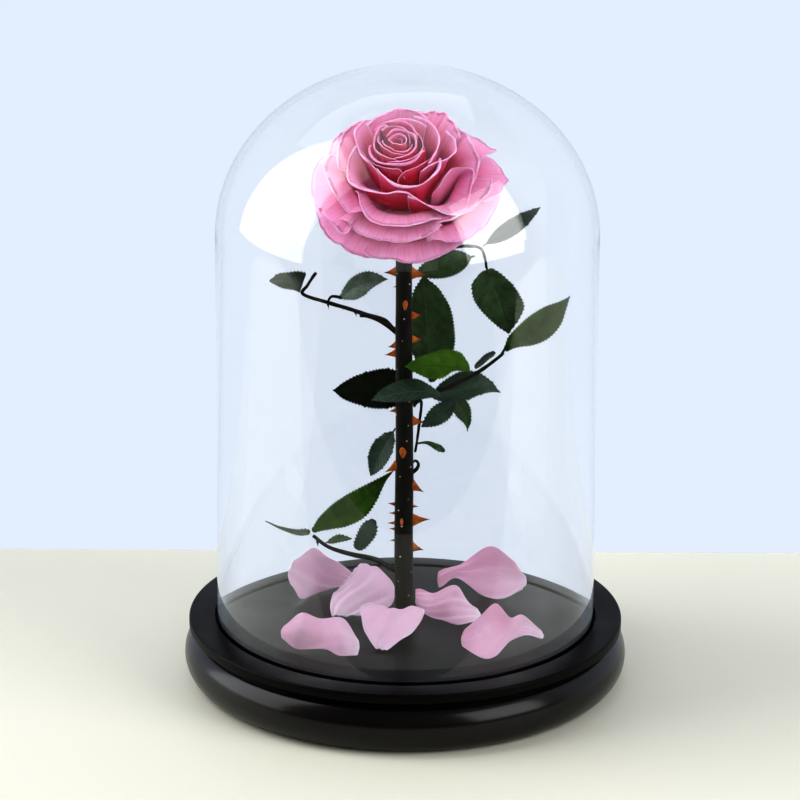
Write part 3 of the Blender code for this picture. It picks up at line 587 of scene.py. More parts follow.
# Petals: name, direction of the claw (0 faces front, 90 is +X), its cup, the lip, drop at the sides,
# roll, radius of the curled rim, its curl in degrees, wave
PETALS = (
    ("inner_front", 8, 1.38, lip((-39, -23, -8, 8, 22, 37, 50, 58), (0.89, 1.1, 1.25, 1.31, 1.24, 1.02,
        0.78, 0.66), (), (0.98,)), 0, 1.2, 0.75, 130, 0.4),
    ("inner_right", 80, 1, lip((22, 34, 45, 62, 75, 88, 100, 112), (0.6, 0.6, 0.68, 0.85, 1.02, 1.02, 0.9,
        0.72), (0.93, 0.98)), 0, 1.4, 0.4, 120, 0.5),
    ("inner_back_right", 134, 0.5, lip((40, 55, 72, 90, 114, 141, 168), (0.4, 0.36, 0.33, 0.33, 0.38, 0.47,
        0.58), (0.94,), (0.97,), 0.98), 0, 0.8, 0.35, 120, 0.4),
    ("inner_back_left", -160, 0.24, even_lip(-160, 58, 0.3, 0.97), 0.06, 0.8, 0.35, 120, 0.4),
    ("inner_left", -88, 0.96, lip((-130, -116, -98, -78, -60, -46, -36), (1.2, 1.28, 1.07, 0.92, 0.86, 0.84,
        0.82), (), (0.98, 0.9)), 0, 1, 0.4, 120, 0.4),
    ("middle_front_left", -51, 1.78, lip((-86, -77, -67, -57, -46, -33, -18, -7, 2, 12), (0.98, 1.39, 1.67,
        1.89, 1.86, 1.75, 1.66, 1.5, 1.44, 1.46), (), (0.95, 0.82)), 0, 1.5, 0.5, 130, 0.5),
    ("middle_front_right", 43, 2.38, lip((2, 9, 17, 26, 35, 43, 50, 60, 71, 72, 66, 57, 46, 34), (1.52,
        1.76, 2.1, 2.5, 2.8, 2.84, 2.62, 2.28, 2.08, 1.86, 1.52, 1.22, 1.22, 1.34), (0.95,), (0.99, 0.95,
        0.86)), 0, 1.8, 0.45, 120, 0.6),
    ("middle_right", 97, 1.92, lip((68, 75, 86, 94, 102, 113, 123, 131), (2.22, 2.16, 2.12, 1.96, 1.8, 1.74,
        1.6, 1.5), (0.88, 0.96), (0.97, 0.9)), 0, 1.4, 0.4, 120, 0.8),
    ("middle_back_right", 146, 1.7, lip((112, 124, 135, 145, 152, 161, 171), (1.42, 1.55, 1.66, 1.88, 1.66,
        1.5, 1.4), (), (0.98, 1, 1.01, 1, 0.96, 0.91), 0.93), 0, 1.2, 0.4, 110, 1),
    ("middle_back", -172, 1.2, lip((-208, -198, -186, -176, -164, -152, -142, -132), (0.84, 0.9, 1.02, 1.08,
        0.98, 0.94, 0.98, 1.1), (0.93, 0.98), (0.99, 0.96, 0.91)), 0, 1, 0.4, 110, 0.8),
    ("middle_back_left", -110, 1.9, even_lip(-110, 31, 1.9, 0.99), 0.1, 1.2, 0.4, 120, 0.8),
    ("outer_front", -11, 2.78, lip((-46, -41, -35, -28, -19, -9, 2, 11, 19, 28, 38), (2, 2.06, 2.4, 2.72,
        2.82, 2.8, 2.76, 2.7, 2.62, 2.68, 2.72), (0.96,), (0.98, 0.9, 0.78)), 0, 2.2, 0.45, 110, 0.6),
    ("outer_front_left", -68, 2.68, lip((-98, -86, -74, -62, -51, -43, -37, -31), (2.4, 2.56, 2.61, 2.67,
        2.8, 2.88, 2.72, 2.48), (0.96,), (0.98,)), 0, 1.8, 0.4, 110, 0.9),
    ("outer_front_right", 60, 3.04, lip((14, 21, 28, 36, 46, 57, 70, 84), (2.92, 2.86, 2.82, 2.86, 2.92,
        2.97, 3.05, 3.06), (0.86, 0.94, 0.98), (0.97,)), 0, 1.8, 0.4, 110, 0.9),
    ("outer_right", 108, 2.9, lip((84, 92, 100, 107, 112, 117, 125, 134), (2.2, 2.3, 2.56, 2.96, 3.2, 3.3,
        3.3, 3.2), (0.93,), (0.98, 0.93)), 0, 1, 0.35, 80, 0.9),
    ("outer_back", 166, 3.1, even_lip(166, 36, 3.1, 0.95), 0.13, 1.2, 0.4, 90, 1.2),
    ("outer_back_left", -134, 2.9, even_lip(-134, 34, 2.9, 0.95), 0.13, 1.2, 0.4, 90, 1.2),
    ("lower_front", -10, 3.62, lip((-48, -41, -34, -26, -17, -8, 1, 9, 17, 25), (3.3, 3.3, 3.44, 3.5, 3.55,
        3.48, 3.46, 3.42, 3.12, 2.9), (0.94, 0.98), (0.98,)), 0, 1.8, 0.3, 80, 1.5),
    ("lower_front_right", 58, 4.22, lip((14, 21, 28, 39, 56, 74, 90), (3.5, 3.56, 3.86, 4.16, 4.3, 4.22,
        4.16), (0.97,), (1.01, 1.02, 1.01, 0.94)), 0, 1.5, 0.3, 80, 1.5),
    ("lower_right", 94, 3.85, lip((66, 76, 86, 93, 99, 105, 112, 120), (3.3, 3.56, 3.84, 3.96, 4.02, 4.04,
        4.02, 3.9), (0.93,), (0.98, 0.92)), 0, 0.8, 0.3, 60, 1.2),
    ("lower_back", 148, 4.15, even_lip(148, 38, 4.15, 0.98), 0.13, 1.2, 0.4, 80, 1.5),
    ("lower_left", -92, 4.1, lip((-126, -108, -90, -74, -62, -50, -41, -37, -38), (4.1, 4.12, 4.1, 4.02,
        3.92, 3.86, 3.84, 3.5, 3.1), (0.92, 0.97), (0.99, 0.98, 0.95)), 0, 1.5, 0.3, 90, 1.5),
    ("lowest_front", 8, 4.85, lip((-26, -24, -16, -8, 0, 9, 18, 28, 38), (4.2, 4.55, 4.72, 4.56, 4.74, 5,
        4.74, 4.42, 4.2), (0.97, 0.99), (0.96,)), 0, 1, 0.3, 60, 1.4),
    ("lowest_front_left", -46, 4.62, lip((-84, -70, -57, -44, -32, -20), (4.62, 4.9, 5.1, 5.08, 4.9, 4.8),
        (0.92, 0.98), (0.94,)), 0, 1.2, 0.3, 70, 1.5),
)

# Petals that end in a point, and how far it stands out
POINTED = {"outer_right": 5.0, "lower_right": 5.0}

for number, (name, *shape) in enumerate(PETALS):
    grid = petal_grid(*shape, seed=100 + 7 * number, tip=POINTED.get(name, 0.0))
    place(sheet("bloom_" + name, grid, PETAL_THICKNESS, ROSE_PINK), "pink_petal", "petal_" + name)
print("petals made:", len(PETALS))

# %% [markdown]
# ## The heart of the bloom
# The middle of a rose is a tight spiral: narrow young petals, each wound round the one inside it. They
# sit on cups inside cup 0, which the same rule gives when the cup's number falls below nought. Every
# petal also spirals a little outwards from one side edge to the other, so the edges overlap like
# tiles. The whole heart leans slightly to the left.

# %% The spiral heart
# Heart petals, from the inmost out: direction and cup of the claw, the lip, rim radius, its curl
HEART_PETALS = (
    (100, -0.9, lip((-10, 60, 130, 200), (-0.86, -0.9, -0.9, -0.86), (0.84,), (0.84,), 0.86), 0.25, 60),
    (70, -0.72, lip((-102, -84, -57, -22, 31, 79, 140, 178, 224, 262), (-0.62, -0.65, -0.69, -0.76, -0.71,
        -0.71, -0.73, -0.71, -0.7, -0.6), (0.88,), (0.88,), 0.9), 0.35, 100),
    (150, -0.5, lip((70, 100, 130, 165, 205, 240), (-0.58, -0.55, -0.52, -0.5, -0.46, -0.42), (), (0.92,
        0.935, 0.94, 0.93, 0.9), 0.88), 0.35, 100),
    (-10, -0.36, lip((-100, -75, -58, -32, -9, 5, 29, 43, 70), (-0.34, -0.38, -0.4, -0.42, -0.37, -0.33,
        -0.31, -0.34, -0.44), (0.89, 0.92), (0.9,), 0.93), 0.35, 110),
    (-46, -0.22, lip((-108, -82, -60, -36, -12, 8, 26), (-0.14, -0.2, -0.24, -0.25, -0.21, -0.2, -0.24),
        (0.92,), (0.94, 0.9), 0.95), 0.35, 100),
    (56, -0.22, lip((-24, -8, 11, 43, 73, 100, 124, 150), (0.04, 0, -0.06, -0.16, -0.24, -0.3, -0.4, -0.46),
        (0.9, 0.945), (0.94, 0.9), 0.95), 0.6, 120),
    (-200, -0.34, lip((-252, -240, -222, -202, -185, -172, -150, -132), (-0.42, -0.5, -0.49, -0.44, -0.34,
        -0.26, -0.12, -0.06), (0.92, 0.95), (0.95, 0.92), 0.955), 0.3, 100),
    (-84, 0.06, lip((-152, -135, -112, -89, -74, -57, -39, -14, 4), (0.1, 0.08, -0.02, -0.03, 0.04, 0.08,
        0.07, 0.08, 0.06), (0.93, 0.965), (0.965, 0.92), 0.97), 0.4, 110),
    (-186, 0.06, lip((-256, -240, -222, -203, -187, -167, -143, -126), (-0.26, -0.22, -0.12, -0.04, 0.05,
        0.1, 0.21, 0.24), (0.92, 0.965), (0.94,), 0.97), 0.35, 110),
    (52, 0.06, lip((-28, -12, 12, 37, 56, 74, 92, 107, 126), (0.2, 0.18, 0.15, 0.11, 0.08, 0.02, -0.05,
        -0.15, -0.2), (0.9, 0.96), (0.92,), 0.97), 0.35, 110),
    (-10, 0.32, lip((-88, -75, -62, -46, -32, -11, 8, 31, 52, 66), (0.18, 0.27, 0.35, 0.4, 0.4, 0.32, 0.29,
        0.24, 0.14, 0.06), (0.9, 0.965), (0.92,), 0.97), 0.7, 130),
    (-30, 0.52, lip((-80, -62, -44, -28, -10, -1, 3, 5), (0.5, 0.52, 0.54, 0.52, 0.48, 0.46, 0.46, 0.48),
        (0.88, 0.93, 0.955), (0.955, 0.9, 0.8), 0.965), 0.3, 90),
    (26, 0.62, lip((-6, -3, 4, 13, 29, 44, 66), (0.58, 0.58, 0.56, 0.54, 0.5, 0.46, 0.42), (), (0.85, 0.925,
        0.96, 0.965, 0.955, 0.9), 0.76), 0.3, 90),
)
HEART_ROLL = 0.2
HEART_WAVE = 0.35
HEART_HEIGHT = 42.6
HEART_LEAN = -4.0
HEART_THICKNESS = 0.3


def lean(points):
    """Leans the upper part of the heart to the left of the bloom's axis."""
    height = (points - BLOOM_POLE) @ BLOOM_AXIS
    leaned = points.copy()
    leaned[..., 0] += HEART_LEAN * (height / HEART_HEIGHT) ** 2
    return leaned


def make_heart():
    pieces = []
    for number, (direction, cup, edge, curl, turn) in enumerate(HEART_PETALS):
        grid = petal_grid(direction, cup, edge, 0.0, HEART_ROLL, curl, turn, HEART_WAVE, 500 + 11 * number)
        pieces.append(sheet("heart_petal", lean(grid), HEART_THICKNESS, HEART_PINK))
    return joined("bloom_heart", pieces)


heart = place(make_heart(), "pink_petal", "rose_heart")
print("heart petals:", len(HEART_PETALS), "faces:", len(heart.data.polygons))

# %% [markdown]
# ## Stem, thorn and leaf colours
# The stem is a dark green that ripens to brown, dull, with slight ridges along it. The thorns are dry
# and horny: orange brown, with a dark tip. A leaf is darkest between its veins, and each vein is a
# fine paler line with a crease beside it; the veins come from the leaf's own UV map.

# %% Materials: bark, thorn and leaf
# Side veins on each half of a leaf, and how many rows they climb on the way from midrib to edge
SIDE_VEINS, VEIN_CLIMB = 9.0, 2.1


def stem_bark():
    bark = Finish("stem_bark", Roughness=0.5, Specular_IOR_Level=0.2)
    at = object_place(bark)
    ridges = bark.noise(bark.stretched(at, (900, 900, 60)), 1.0, 3.0)
    patch = bark.noise(bark.stretched(at, (160, 160, 70)), 1.0, 3.0)
    colour = bark.ramp(patch, (0.3, (0.003, 0.003, 0.0016)), (0.55, (0.006, 0.007, 0.003)),
                       (0.75, (0.012, 0.013, 0.006)))
    bark.colour(bark.mix(bark.span(ridges, 0.4, 0.75, 0.0, 0.5), colour, (0.014, 0.006, 0.003, 1.0)))
    bark.bump(ridges, 0.4, 0.0004)
    return bark.material


def thorn_horn():
    horn = Finish("thorn_horn", Roughness=0.5, Specular_IOR_Level=0.2, Subsurface_Weight=0.1,
                  Subsurface_Scale=0.001)
    tip = horn.node("ShaderNodeAttribute", attribute_name="tip").outputs["Fac"]
    cloud = horn.noise(object_place(horn), 420.0, 3.0)
    dry = horn.ramp(cloud, (0.3, (0.26, 0.060, 0.010)), (0.7, (0.52, 0.16, 0.022)))
    horn.colour(horn.mix(horn.span(tip, 0.45, 0.95, 0.0, 0.9), dry, (0.05, 0.008, 0.003, 1.0)))
    return horn.material


def leaf_skin(name, between, vein, underside, roughness, gloss):
    leaf = Finish(name, Roughness=roughness, Specular_IOR_Level=gloss, Subsurface_Weight=0.04,
                  Subsurface_Scale=0.001)
    at = object_place(leaf)
    _, across, along = sheet_place(leaf)
    off = leaf.math("ABSOLUTE", leaf.math("SUBTRACT", across, 0.5))
    wander = leaf.math("MULTIPLY", leaf.noise(at, 120.0, 2.0), 0.35)
    slant = leaf.math("SUBTRACT", leaf.math("MULTIPLY", along, SIDE_VEINS),
                      leaf.math("MULTIPLY", off, 2 * VEIN_CLIMB))
    rows = leaf.math("ADD", slant, wander)
    across_row = leaf.math("ABSOLUTE", leaf.math("SUBTRACT", leaf.math("FRACT", rows), 0.5))
    side_vein = leaf.math("MULTIPLY", leaf.span(across_row, 0.0, 0.10, 1.0, 0.0),
                          leaf.span(off, 0.40, 0.5, 1.0, 0.0))
    midrib = leaf.span(off, 0.006, 0.03, 1.0, 0.0)
    veins = leaf.math("MAXIMUM", leaf.math("MULTIPLY", side_vein, 0.55), midrib)
    mottle = leaf.noise(at, 210.0, 4.0, 0.6)
    darker, lighter = ((*(share * c for c in between), 1.0) for share in (0.72, 1.25))
    body = leaf.mix(leaf.span(mottle, 0.35, 0.7), darker, lighter)
    colour = leaf.mix(leaf.math("MULTIPLY", veins, 0.5), body, (*vein, 1.0))
    leaf.colour(leaf.mix(leaf.math("MULTIPLY", behind_mark(leaf), 0.8), colour, (*underside, 1.0)))
    leaf.bump(leaf.math("SUBTRACT", leaf.math("MULTIPLY", mottle, 0.4), veins), 0.5, 0.0003)
    return leaf.material


STEM_BARK = stem_bark()
THORN_HORN = thorn_horn()
# Leaf skins: name, colour between the veins, vein, underside, roughness, gloss
LEAF_SHADED, LEAF_DARK, LEAF_GREY, LEAF_PAINTED_SHEEN, LEAF_OLIVE, LEAF_BRIGHT = (leaf_skin(*row) for row in (
    # A near-black copy of the leaf skin: painted shade for the leaf that lies in shadow at the back
    ("leaf_deep", (0.006, 0.010, 0.002), (0.012, 0.020, 0.006), (0.010, 0.020, 0.008), 0.45, 0.05),
    ("leaf_dark", (0.036, 0.070, 0.026), (0.062, 0.105, 0.058), (0.05, 0.085, 0.045), 0.38, 0.14),
    ("leaf_grey", (0.026, 0.056, 0.034), (0.055, 0.098, 0.068), (0.036, 0.066, 0.044), 0.38, 0.26),
    # A paler grey-green whose colour paints the sheen of the upper left leaf: a painted reflection
    ("leaf_sheen", (0.085, 0.125, 0.095), (0.16, 0.21, 0.17), (0.06, 0.09, 0.07), 0.40, 0.25),
    ("leaf_olive", (0.030, 0.072, 0.006), (0.008, 0.022, 0.003), (0.034, 0.070, 0.014), 0.45, 0.04),
    ("leaf_bright", (0.046, 0.112, 0.006), (0.010, 0.030, 0.003), (0.05, 0.10, 0.018), 0.42, 0.06),
))
print("made", STEM_BARK.name, THORN_HORN.name, "and six leaf skins")

# %% [markdown]
# ## The stem
# The stem is a rod along a listed line, not quite straight and a little uneven in thickness, that ends
# in the neck of the bloom. A curve with a bevel would do as well, but a rod built from rings keeps its
# radius and its UV map under control.

# %% The stem
# Points from the base up: right, back, height, radius. Then the neck: height on the bloom's axis, radius
STEM_AXIS = (
    (0, 0, 24.6, 4.9), (-0.6, 0, 45, 4.7), (-1, 0.2, 80, 4.5), (-0.8, 0, 112, 4.5),
    (-1.1, -0.3, 146, 4.2), (-1.5, 0, 178, 4.1), (-1.6, 0, 206, 4), (-1.6, -0.6, 220, 4.1),
)
NECK = (-12.0, 4.3)


def make_stem():
    neck = in_bloom(0.0, NECK[0], 0.0)
    path = through([*STEM_AXIS, (*neck, NECK[1])], np.linspace(0, 1, 120))
    radii = path[:, 3] * (1 + 0.018 * smooth_noise(3, path[:, 2] / 40, 6, 4.0))
    return rod("stem_rod", path[:, :3], radii, STEM_BARK, sides=40)


stem = place(make_stem(), "stem_bark", "stem")
print("stem faces:", len(stem.data.polygons))

# %% [markdown]
# ## Geometry Nodes from a script
# Thorns and pores repeat one small shape many times, which is work for Geometry Nodes. A tree has
# named inputs that a maker can change later. This helper sets their values on the modifier, ends the
# tree in real geometry with its own material, and turns the result into a plain mesh.

# %% Geometry Nodes helper
class Grower(Nodes):
    """A Geometry Nodes tree under construction, with named inputs."""

    def __init__(self, name, inputs):
        super().__init__(bpy.data.node_groups.new(name, "GeometryNodeTree"))
        face = self.tree.interface
        face.new_socket("Geometry", in_out="INPUT", socket_type="NodeSocketGeometry")
        self.values = {}
        for title, (kind, value) in inputs.items():
            self.values[face.new_socket(title, in_out="INPUT", socket_type=kind).identifier] = value
        face.new_socket("Geometry", in_out="OUTPUT", socket_type="NodeSocketGeometry")
        self.source = self.tree.nodes.new("NodeGroupInput").outputs

    def finish(self, instances, material):
        """Ends the tree in real geometry with its own material."""
        real = self.out("GeometryNodeRealizeInstances", {0: instances})
        shown = self.out("GeometryNodeSetMaterial", {"Geometry": real, "Material": material})
        self.node("NodeGroupOutput", {0: shown})
        return self

    def grow(self, obj):
        """Runs the tree on an object and leaves a plain mesh."""
        modifier = obj.modifiers.new(self.tree.name, "NODES")
        modifier.node_group = self.tree
        for identifier, value in self.values.items():
            modifier[identifier] = value
        return plain_mesh(obj)


print("tree helper ready")

# %% [markdown]
# ## Thorns
# Every thorn has the same build: a broad root that is taller than it is wide, narrowing in a curve to
# a sharp tip. They could be modelled one by one, but their build is shared, so a tree puts one on each
# marked point of the stem. The points carry two vectors, a turn and a size, and the tree reads them by
# name. The small prickles on the twigs come from the same tree.

# %% Thorns on the stem
# Thorns: height on the stem, direction round it (0 is +X, -90 faces front), length, root height, droop
THORNS = (
    (210.4, 6, 8, 7.6, 1.6), (211.2, 176, 6.2, 6.4, 0.8), (203.5, 182, 1.6, 1.8, 0.2),
    (195, -80, 2.4, 7, 1.5), (189.4, -8, 5.6, 5.2, -0.4), (177.2, 5, 5.6, 5.4, 0.2),
    (174.2, 170, 4.2, 5, 1.4), (170.6, 188, 5.8, 5.4, 0.8), (142, 186, 3.6, 3.6, 0.6),
    (136.6, -6, 6.4, 6.4, 0.6), (121, -100, 2.6, 9, 2), (114, 196, 6.4, 6.4, 3.2),
    (104, -14, 6.4, 6.6, 3.4), (93.8, 174, 3.8, 3.2, -0.4), (93, 2, 3, 2.6, 0.2),
    (89.5, 184, 3.2, 2.6, -0.2), (86, 0, 8.6, 7.6, -0.4), (86, -104, 2.4, 5.6, 0.8),
    (84.4, 178, 3.8, 2.8, 0.2), (81.4, 186, 3, 2.6, -0.4), (75.5, 176, 2.6, 2.4, 0.2),
    (72, 6, 5.8, 6.2, 1.8),
)
THORN_SINK = 0.9
THORN_FLATNESS = 0.42
# Prickles under the twigs: place, direction, fall in degrees, length, root
PRICKLES = (
    ((-38.8, 2.4, 194), -40, 75, 3, 1.6), ((-25.5, 2, 190.4), -30, 68, 3, 1.8),
    ((-31.6, 2, 192.4), 20, 80, 1.8, 1), ((-43.1, 0, 75), 0, 85, 3.2, 1.9),
    ((-20, 0, 66.6), 10, -80, 2.2, 1.4), ((22, 4.4, 152.4), 30, 80, 2, 1.4),
)


def marked_points(name, places, turns, sizes):
    """Object of loose points that carry a turn and a size."""
    mesh = bpy.data.meshes.new(name)
    mesh.from_pydata((np.array(places) * MM).tolist(), [], [])
    for title, values in (("turn", turns), ("size", sizes)):
        marks = mesh.attributes.new(title, "FLOAT_VECTOR", "POINT")
        marks.data.foreach_set("vector", np.array(values, np.float32).ravel())
    return linked(name, mesh)


def thorn_points():
    """Points just inside the stem's bark, each with the turn and the size of its thorn."""
    axis = np.array(STEM_AXIS)
    places, turns, sizes = [], [], []
    for height, direction, length, root, droop in THORNS:
        x, y, radius = (np.interp(height, axis[:, 2], axis[:, k]) for k in (0, 1, 3))
        turn = math.radians(direction)
        start = radius - THORN_SINK
        places.append((x + start * math.cos(turn), y + start * math.sin(turn), height))
        reach = length + THORN_SINK
        turns.append((0.0, math.atan2(droop, reach), turn))
        sizes.append((reach * MM, 0.5 * root * THORN_FLATNESS * MM, 0.5 * root * MM))
    return marked_points("thorns", places, turns, sizes)


def prickle_points():
    turns = [(0.0, math.radians(fall), math.radians(direction)) for _, direction, fall, _, _ in PRICKLES]
    sizes = [(length * MM, 0.3 * root * MM, 0.5 * root * MM) for *_, length, root in PRICKLES]
    return marked_points("prickles", [row[0] for row in PRICKLES], turns, sizes)


def thorn_tree(material, sides, rings):
    """A cone of length 1 along +X, drawn in to a curved flank, on every point of the geometry."""
    tree = Grower("thorn_grower", {
        "Sides": ("NodeSocketInt", sides),
        "Rings": ("NodeSocketInt", rings),
        "Flank": ("NodeSocketFloat", 1.45),
    })
    geometry, around, steps, flank = (tree.source[k] for k in range(4))
    cone = tree.out("GeometryNodeMeshCone", {"Vertices": around, "Side Segments": steps, "Radius Top": 0.0,
                                             "Radius Bottom": 1.0, "Depth": 1.0})
    here = tree.out("GeometryNodeInputPosition")
    x, y, z = (tree.node("ShaderNodeSeparateXYZ", {0: here}).outputs[k] for k in range(3))
    rest = tree.math("SUBTRACT", 1.0, z)
    drawn = tree.math("POWER", tree.math("MAXIMUM", rest, 0.0), flank)
    narrow = tree.math("DIVIDE", drawn, tree.math("MAXIMUM", rest, 0.001))
    moved = tree.out("ShaderNodeCombineXYZ", {0: z, 1: tree.math("MULTIPLY", x, narrow),
                                              2: tree.math("MULTIPLY", y, narrow)})
    marked = tree.out("GeometryNodeStoreNamedAttribute", {"Geometry": cone, "Name": "tip", "Value": z},
                      data_type="FLOAT", domain="POINT")
    shaped = tree.out("GeometryNodeSetPosition", {"Geometry": marked, "Position": moved})
    shaped = tree.out("GeometryNodeSetShadeSmooth", {"Geometry": shaped, "Shade Smooth": True})
    turn, size = (tree.out("GeometryNodeInputNamedAttribute", {"Name": title}, data_type="FLOAT_VECTOR")
                  for title in ("turn", "size"))
    points = tree.out("GeometryNodeMeshToPoints", {"Mesh": geometry})
    return tree.finish(tree.out("GeometryNodeInstanceOnPoints", {
        "Points": points, "Instance": shaped, "Rotation": turn, "Scale": size}), material)


thorns = place(thorn_tree(THORN_HORN, 16, 10).grow(thorn_points()), "stem_bark")
place(thorn_tree(STEM_BARK, 10, 6).grow(prickle_points()), "stem_bark")
print("thorns:", len(THORNS), "prickles:", len(PRICKLES), "thorn faces:", len(thorns.data.polygons))

# %% [markdown]
# ## Pale dots on the stem
# A rose stem breathes through small pale pores. Painted dots would look flat up close, so the tree
# scatters points over the stem with a fixed seed, leaves room between them, and sets a flattened bead
# on each.

# %% Pores
def pore_paint():
    return Finish("pore_pale", Base_Color=(0.62, 0.58, 0.52, 1.0), Roughness=0.6).material


def pore_tree(material):
    tree = Grower("pore_scatter", {
        "Spacing": ("NodeSocketFloat", 7.0 * MM),
        "Smallest": ("NodeSocketFloat", 0.2 * MM),
        "Largest": ("NodeSocketFloat", 0.46 * MM),
        "Seed": ("NodeSocketInt", 11),
    })
    geometry, spacing, smallest, largest, seed = (tree.source[k] for k in range(5))
    scatter = tree.node("GeometryNodeDistributePointsOnFaces", {
        "Mesh": geometry, "Distance Min": spacing, "Density Max": 60000.0, "Density Factor": 1.0,
        "Seed": seed}, distribute_method="POISSON").outputs
    bead = tree.out("GeometryNodeMeshIcoSphere", {"Radius": 1.0, "Subdivisions": 2})
    size = tree.node("FunctionNodeRandomValue", {2: smallest, 3: largest, "Seed": seed}).outputs[1]
    shape = tree.out("ShaderNodeCombineXYZ", {0: size, 1: size, 2: tree.math("MULTIPLY", size, 0.5)})
    return tree.finish(tree.out("GeometryNodeInstanceOnPoints", {
        "Points": scatter[0], "Instance": bead, "Rotation": scatter[2], "Scale": shape}), material)


pores = linked("stem_pores", stem.data.copy())
pore_tree(pore_paint()).grow(pores)
place(pores, "stem_bark")
print("pore faces:", len(pores.data.polygons))

# %% [markdown]
# ## Receptacle and sepals
# Below the petals the stem widens into a small green cup, and five narrow sepals bend back from it.
# They are hidden from the front by the lowest petals, but they carry the bloom when it is seen from
# below. The cup is a rod about the bloom's axis, and a sepal is a narrow sheet. A second round form,
# in pink, stands for the claws of the petals where they grow together.

# %% Receptacle and sepals
SEPAL_REACH, SEPAL_THICKNESS = 13.0, 0.6
SEPAL_COUNT = 5


def make_receptacle(name, profile, material):
    """Round form about the bloom's axis, through a profile of radii and heights."""
    radii, along = through(profile, np.linspace(0, 1, 24)).T
    return rod(name, BLOOM_POLE + along[:, None] * BLOOM_AXIS, radii, material, sides=48)


def sepal_grid(direction):
    v, u = np.meshgrid(np.linspace(0, 1, 28), np.linspace(-1, 1, 9), indexing="ij")
    half = 4.2 * (1 - v) ** 0.7 * (0.75 + 0.25 * np.cos(math.pi * v)) + 0.25
    radius = 9.0 + (SEPAL_REACH + 1.0) * v
    height = -8.2 + 2.2 * np.sin(math.pi * v) - 3.0 * v * v + 0.25 * np.abs(u) * half
    return in_bloom(radius, height, direction + np.degrees(half * u / radius))


def make_calyx():
    cup = ((3.9, -13.5), (5.6, -11.5), (8.8, -9.0), (10.2, -6.8), (9.8, -5.4))
    pieces = [make_receptacle("receptacle", cup, LEAF_DARK)]
    for k in range(SEPAL_COUNT):
        grid = sepal_grid(-(k + 0.5) * 360 / SEPAL_COUNT)
        pieces.append(sheet("sepal", grid, SEPAL_THICKNESS, LEAF_DARK))
    return joined("calyx", pieces)


CLAWS = ((9.9, -5.6), (9.6, -3.5), (8.6, 0.0), (6.4, 4.0), (3.0, 6.6))
place(make_calyx(), "leaf_green")
place(make_receptacle("petal_claws", CLAWS, ROSE_PINK), "pink_petal")
print("sepals:", SEPAL_COUNT)

# %% [markdown]
# ## Twigs
# Five thin twigs carry the leaves. Each follows a smooth line through listed points, thins towards
# its end, and thickens where it joins the stem. Its rod is carried on into the stem, so no gap shows.
# Torn strips, buds and leaf stalks are shorter rods of the same kind.

# %% Twigs
# Twigs: name, first and last radius, points
TWIGS = (
    ("twig_upper_left", 1.25, 0.7, (
        (-6.6, 1.5, 181.6), (-11.3, 2, 186.2), (-20.1, 2, 188.9), (-27.9, 2, 191.6),
        (-38.7, 3, 194.5), (-51, 4, 198.4), (-48.6, 4, 203), (-45.6, 4, 208))),
    ("twig_upper_right", 1.1, 0.6, (
        (1.4, 3.6, 214.6), (9, 14, 215.4), (20, 22, 216.4), (30, 25, 216.6),
        (36.3, 25.2, 215.2), (38.6, 24.8, 209.6), (39.2, 24.4, 205.4))),
    ("twig_middle_right", 1.5, 0.7, (
        (3.9, 2.6, 146.6), (10.6, 3.6, 148.6), (17.5, 4, 151), (30.7, 5, 157),
        (37.1, 6, 160.5), (43.5, 7, 165), (47.6, 8, 168.2))),
    ("twig_lower_left", 1.7, 0.8, (
        (-5.9, -0.2, 60.9), (-15.2, 0, 65.8), (-26.2, 0, 68.2), (-37.6, 0, 71.9), (-45.3, 0.4, 77.6))),
    ("twig_middle_down", 0.8, 0.6, (
        (7.2, 4.4, 144.6), (6.4, 4.8, 134), (5.2, 4.9, 124), (4.4, 5, 119))),
)
# Stubs: name, first and last radius, points
STUBS = (
    ("torn_strip", 1.5, 0.5, ((-5, 1, 180.6), (-8.8, 1.2, 183.4), (-13.7, 1.6, 186.2), (-19.1, 2, 187.9),
        (-23.2, 2, 188.1))),
    ("stem_hook", 1.2, 0.45, ((0.6, 0, 108.6), (3.2, 0, 110.4), (5.3, 0, 112.2), (6, 0, 114.6), (4.6, 0,
        116.3), (3.5, 0, 115.4))),
    ("upper_left_stalk", 0.55, 0.8, ((-39, 2, 195), (-37.4, 2, 197.6), (-35.4, 2, 197.9), (-32, 2, 197.2))),
    ("far_right_stalk", 0.75, 0.5, ((46.6, 7.8, 167.4), (47.8, 8.1, 169.6), (49.6, 8.6, 172.8))),
    ("upper_right_stalk", 0.6, 0.45, ((39.1, 24.6, 206.6), (39.6, 24.2, 204.4), (40.3, 23.7, 201.4))),
    ("twig_bud", 0.9, 0.7, ((-46.6, 4, 206.4), (-45.2, 4, 208.4), (-44.6, 4, 209))),
)
# Added to a twig's radius at its root
TWIG_ROOT = 0.91


def stem_centre(height):
    axis = np.array(STEM_AXIS)
    return np.array([np.interp(height, axis[:, 2], axis[:, k]) for k in (0, 1)] + [height])


def make_twig(name, first, last, points):
    """The twig, carried on into the stem so that it grows out of it."""
    centre = stem_centre(points[0][2] - 1.5)
    inward = centre + 0.55 * (np.array(points[0]) - centre)
    path = through([inward, *points], np.linspace(0, 1, 14 * len(points)))
    share = np.linspace(0, 1, len(path))
    radii = (first + (last - first) * share + TWIG_ROOT * np.exp(-share * 22)
             + 0.06 * smooth_noise(len(points), 6 * share, 5, 4.0))
    return rod(name + "_rod", path, radii, STEM_BARK, sides=20)


def make_stub(name, first, last, points):
    path = through(points, np.linspace(0, 1, 40))
    return rod(name, path, np.linspace(first, last, 40), STEM_BARK, sides=14)


for twig in TWIGS:
    place(make_twig(*twig), "stem_bark", twig[0])
for stub in STUBS:
    place(make_stub(*stub), "stem_bark")
print("twigs:", len(TWIGS), "stubs:", len(STUBS))

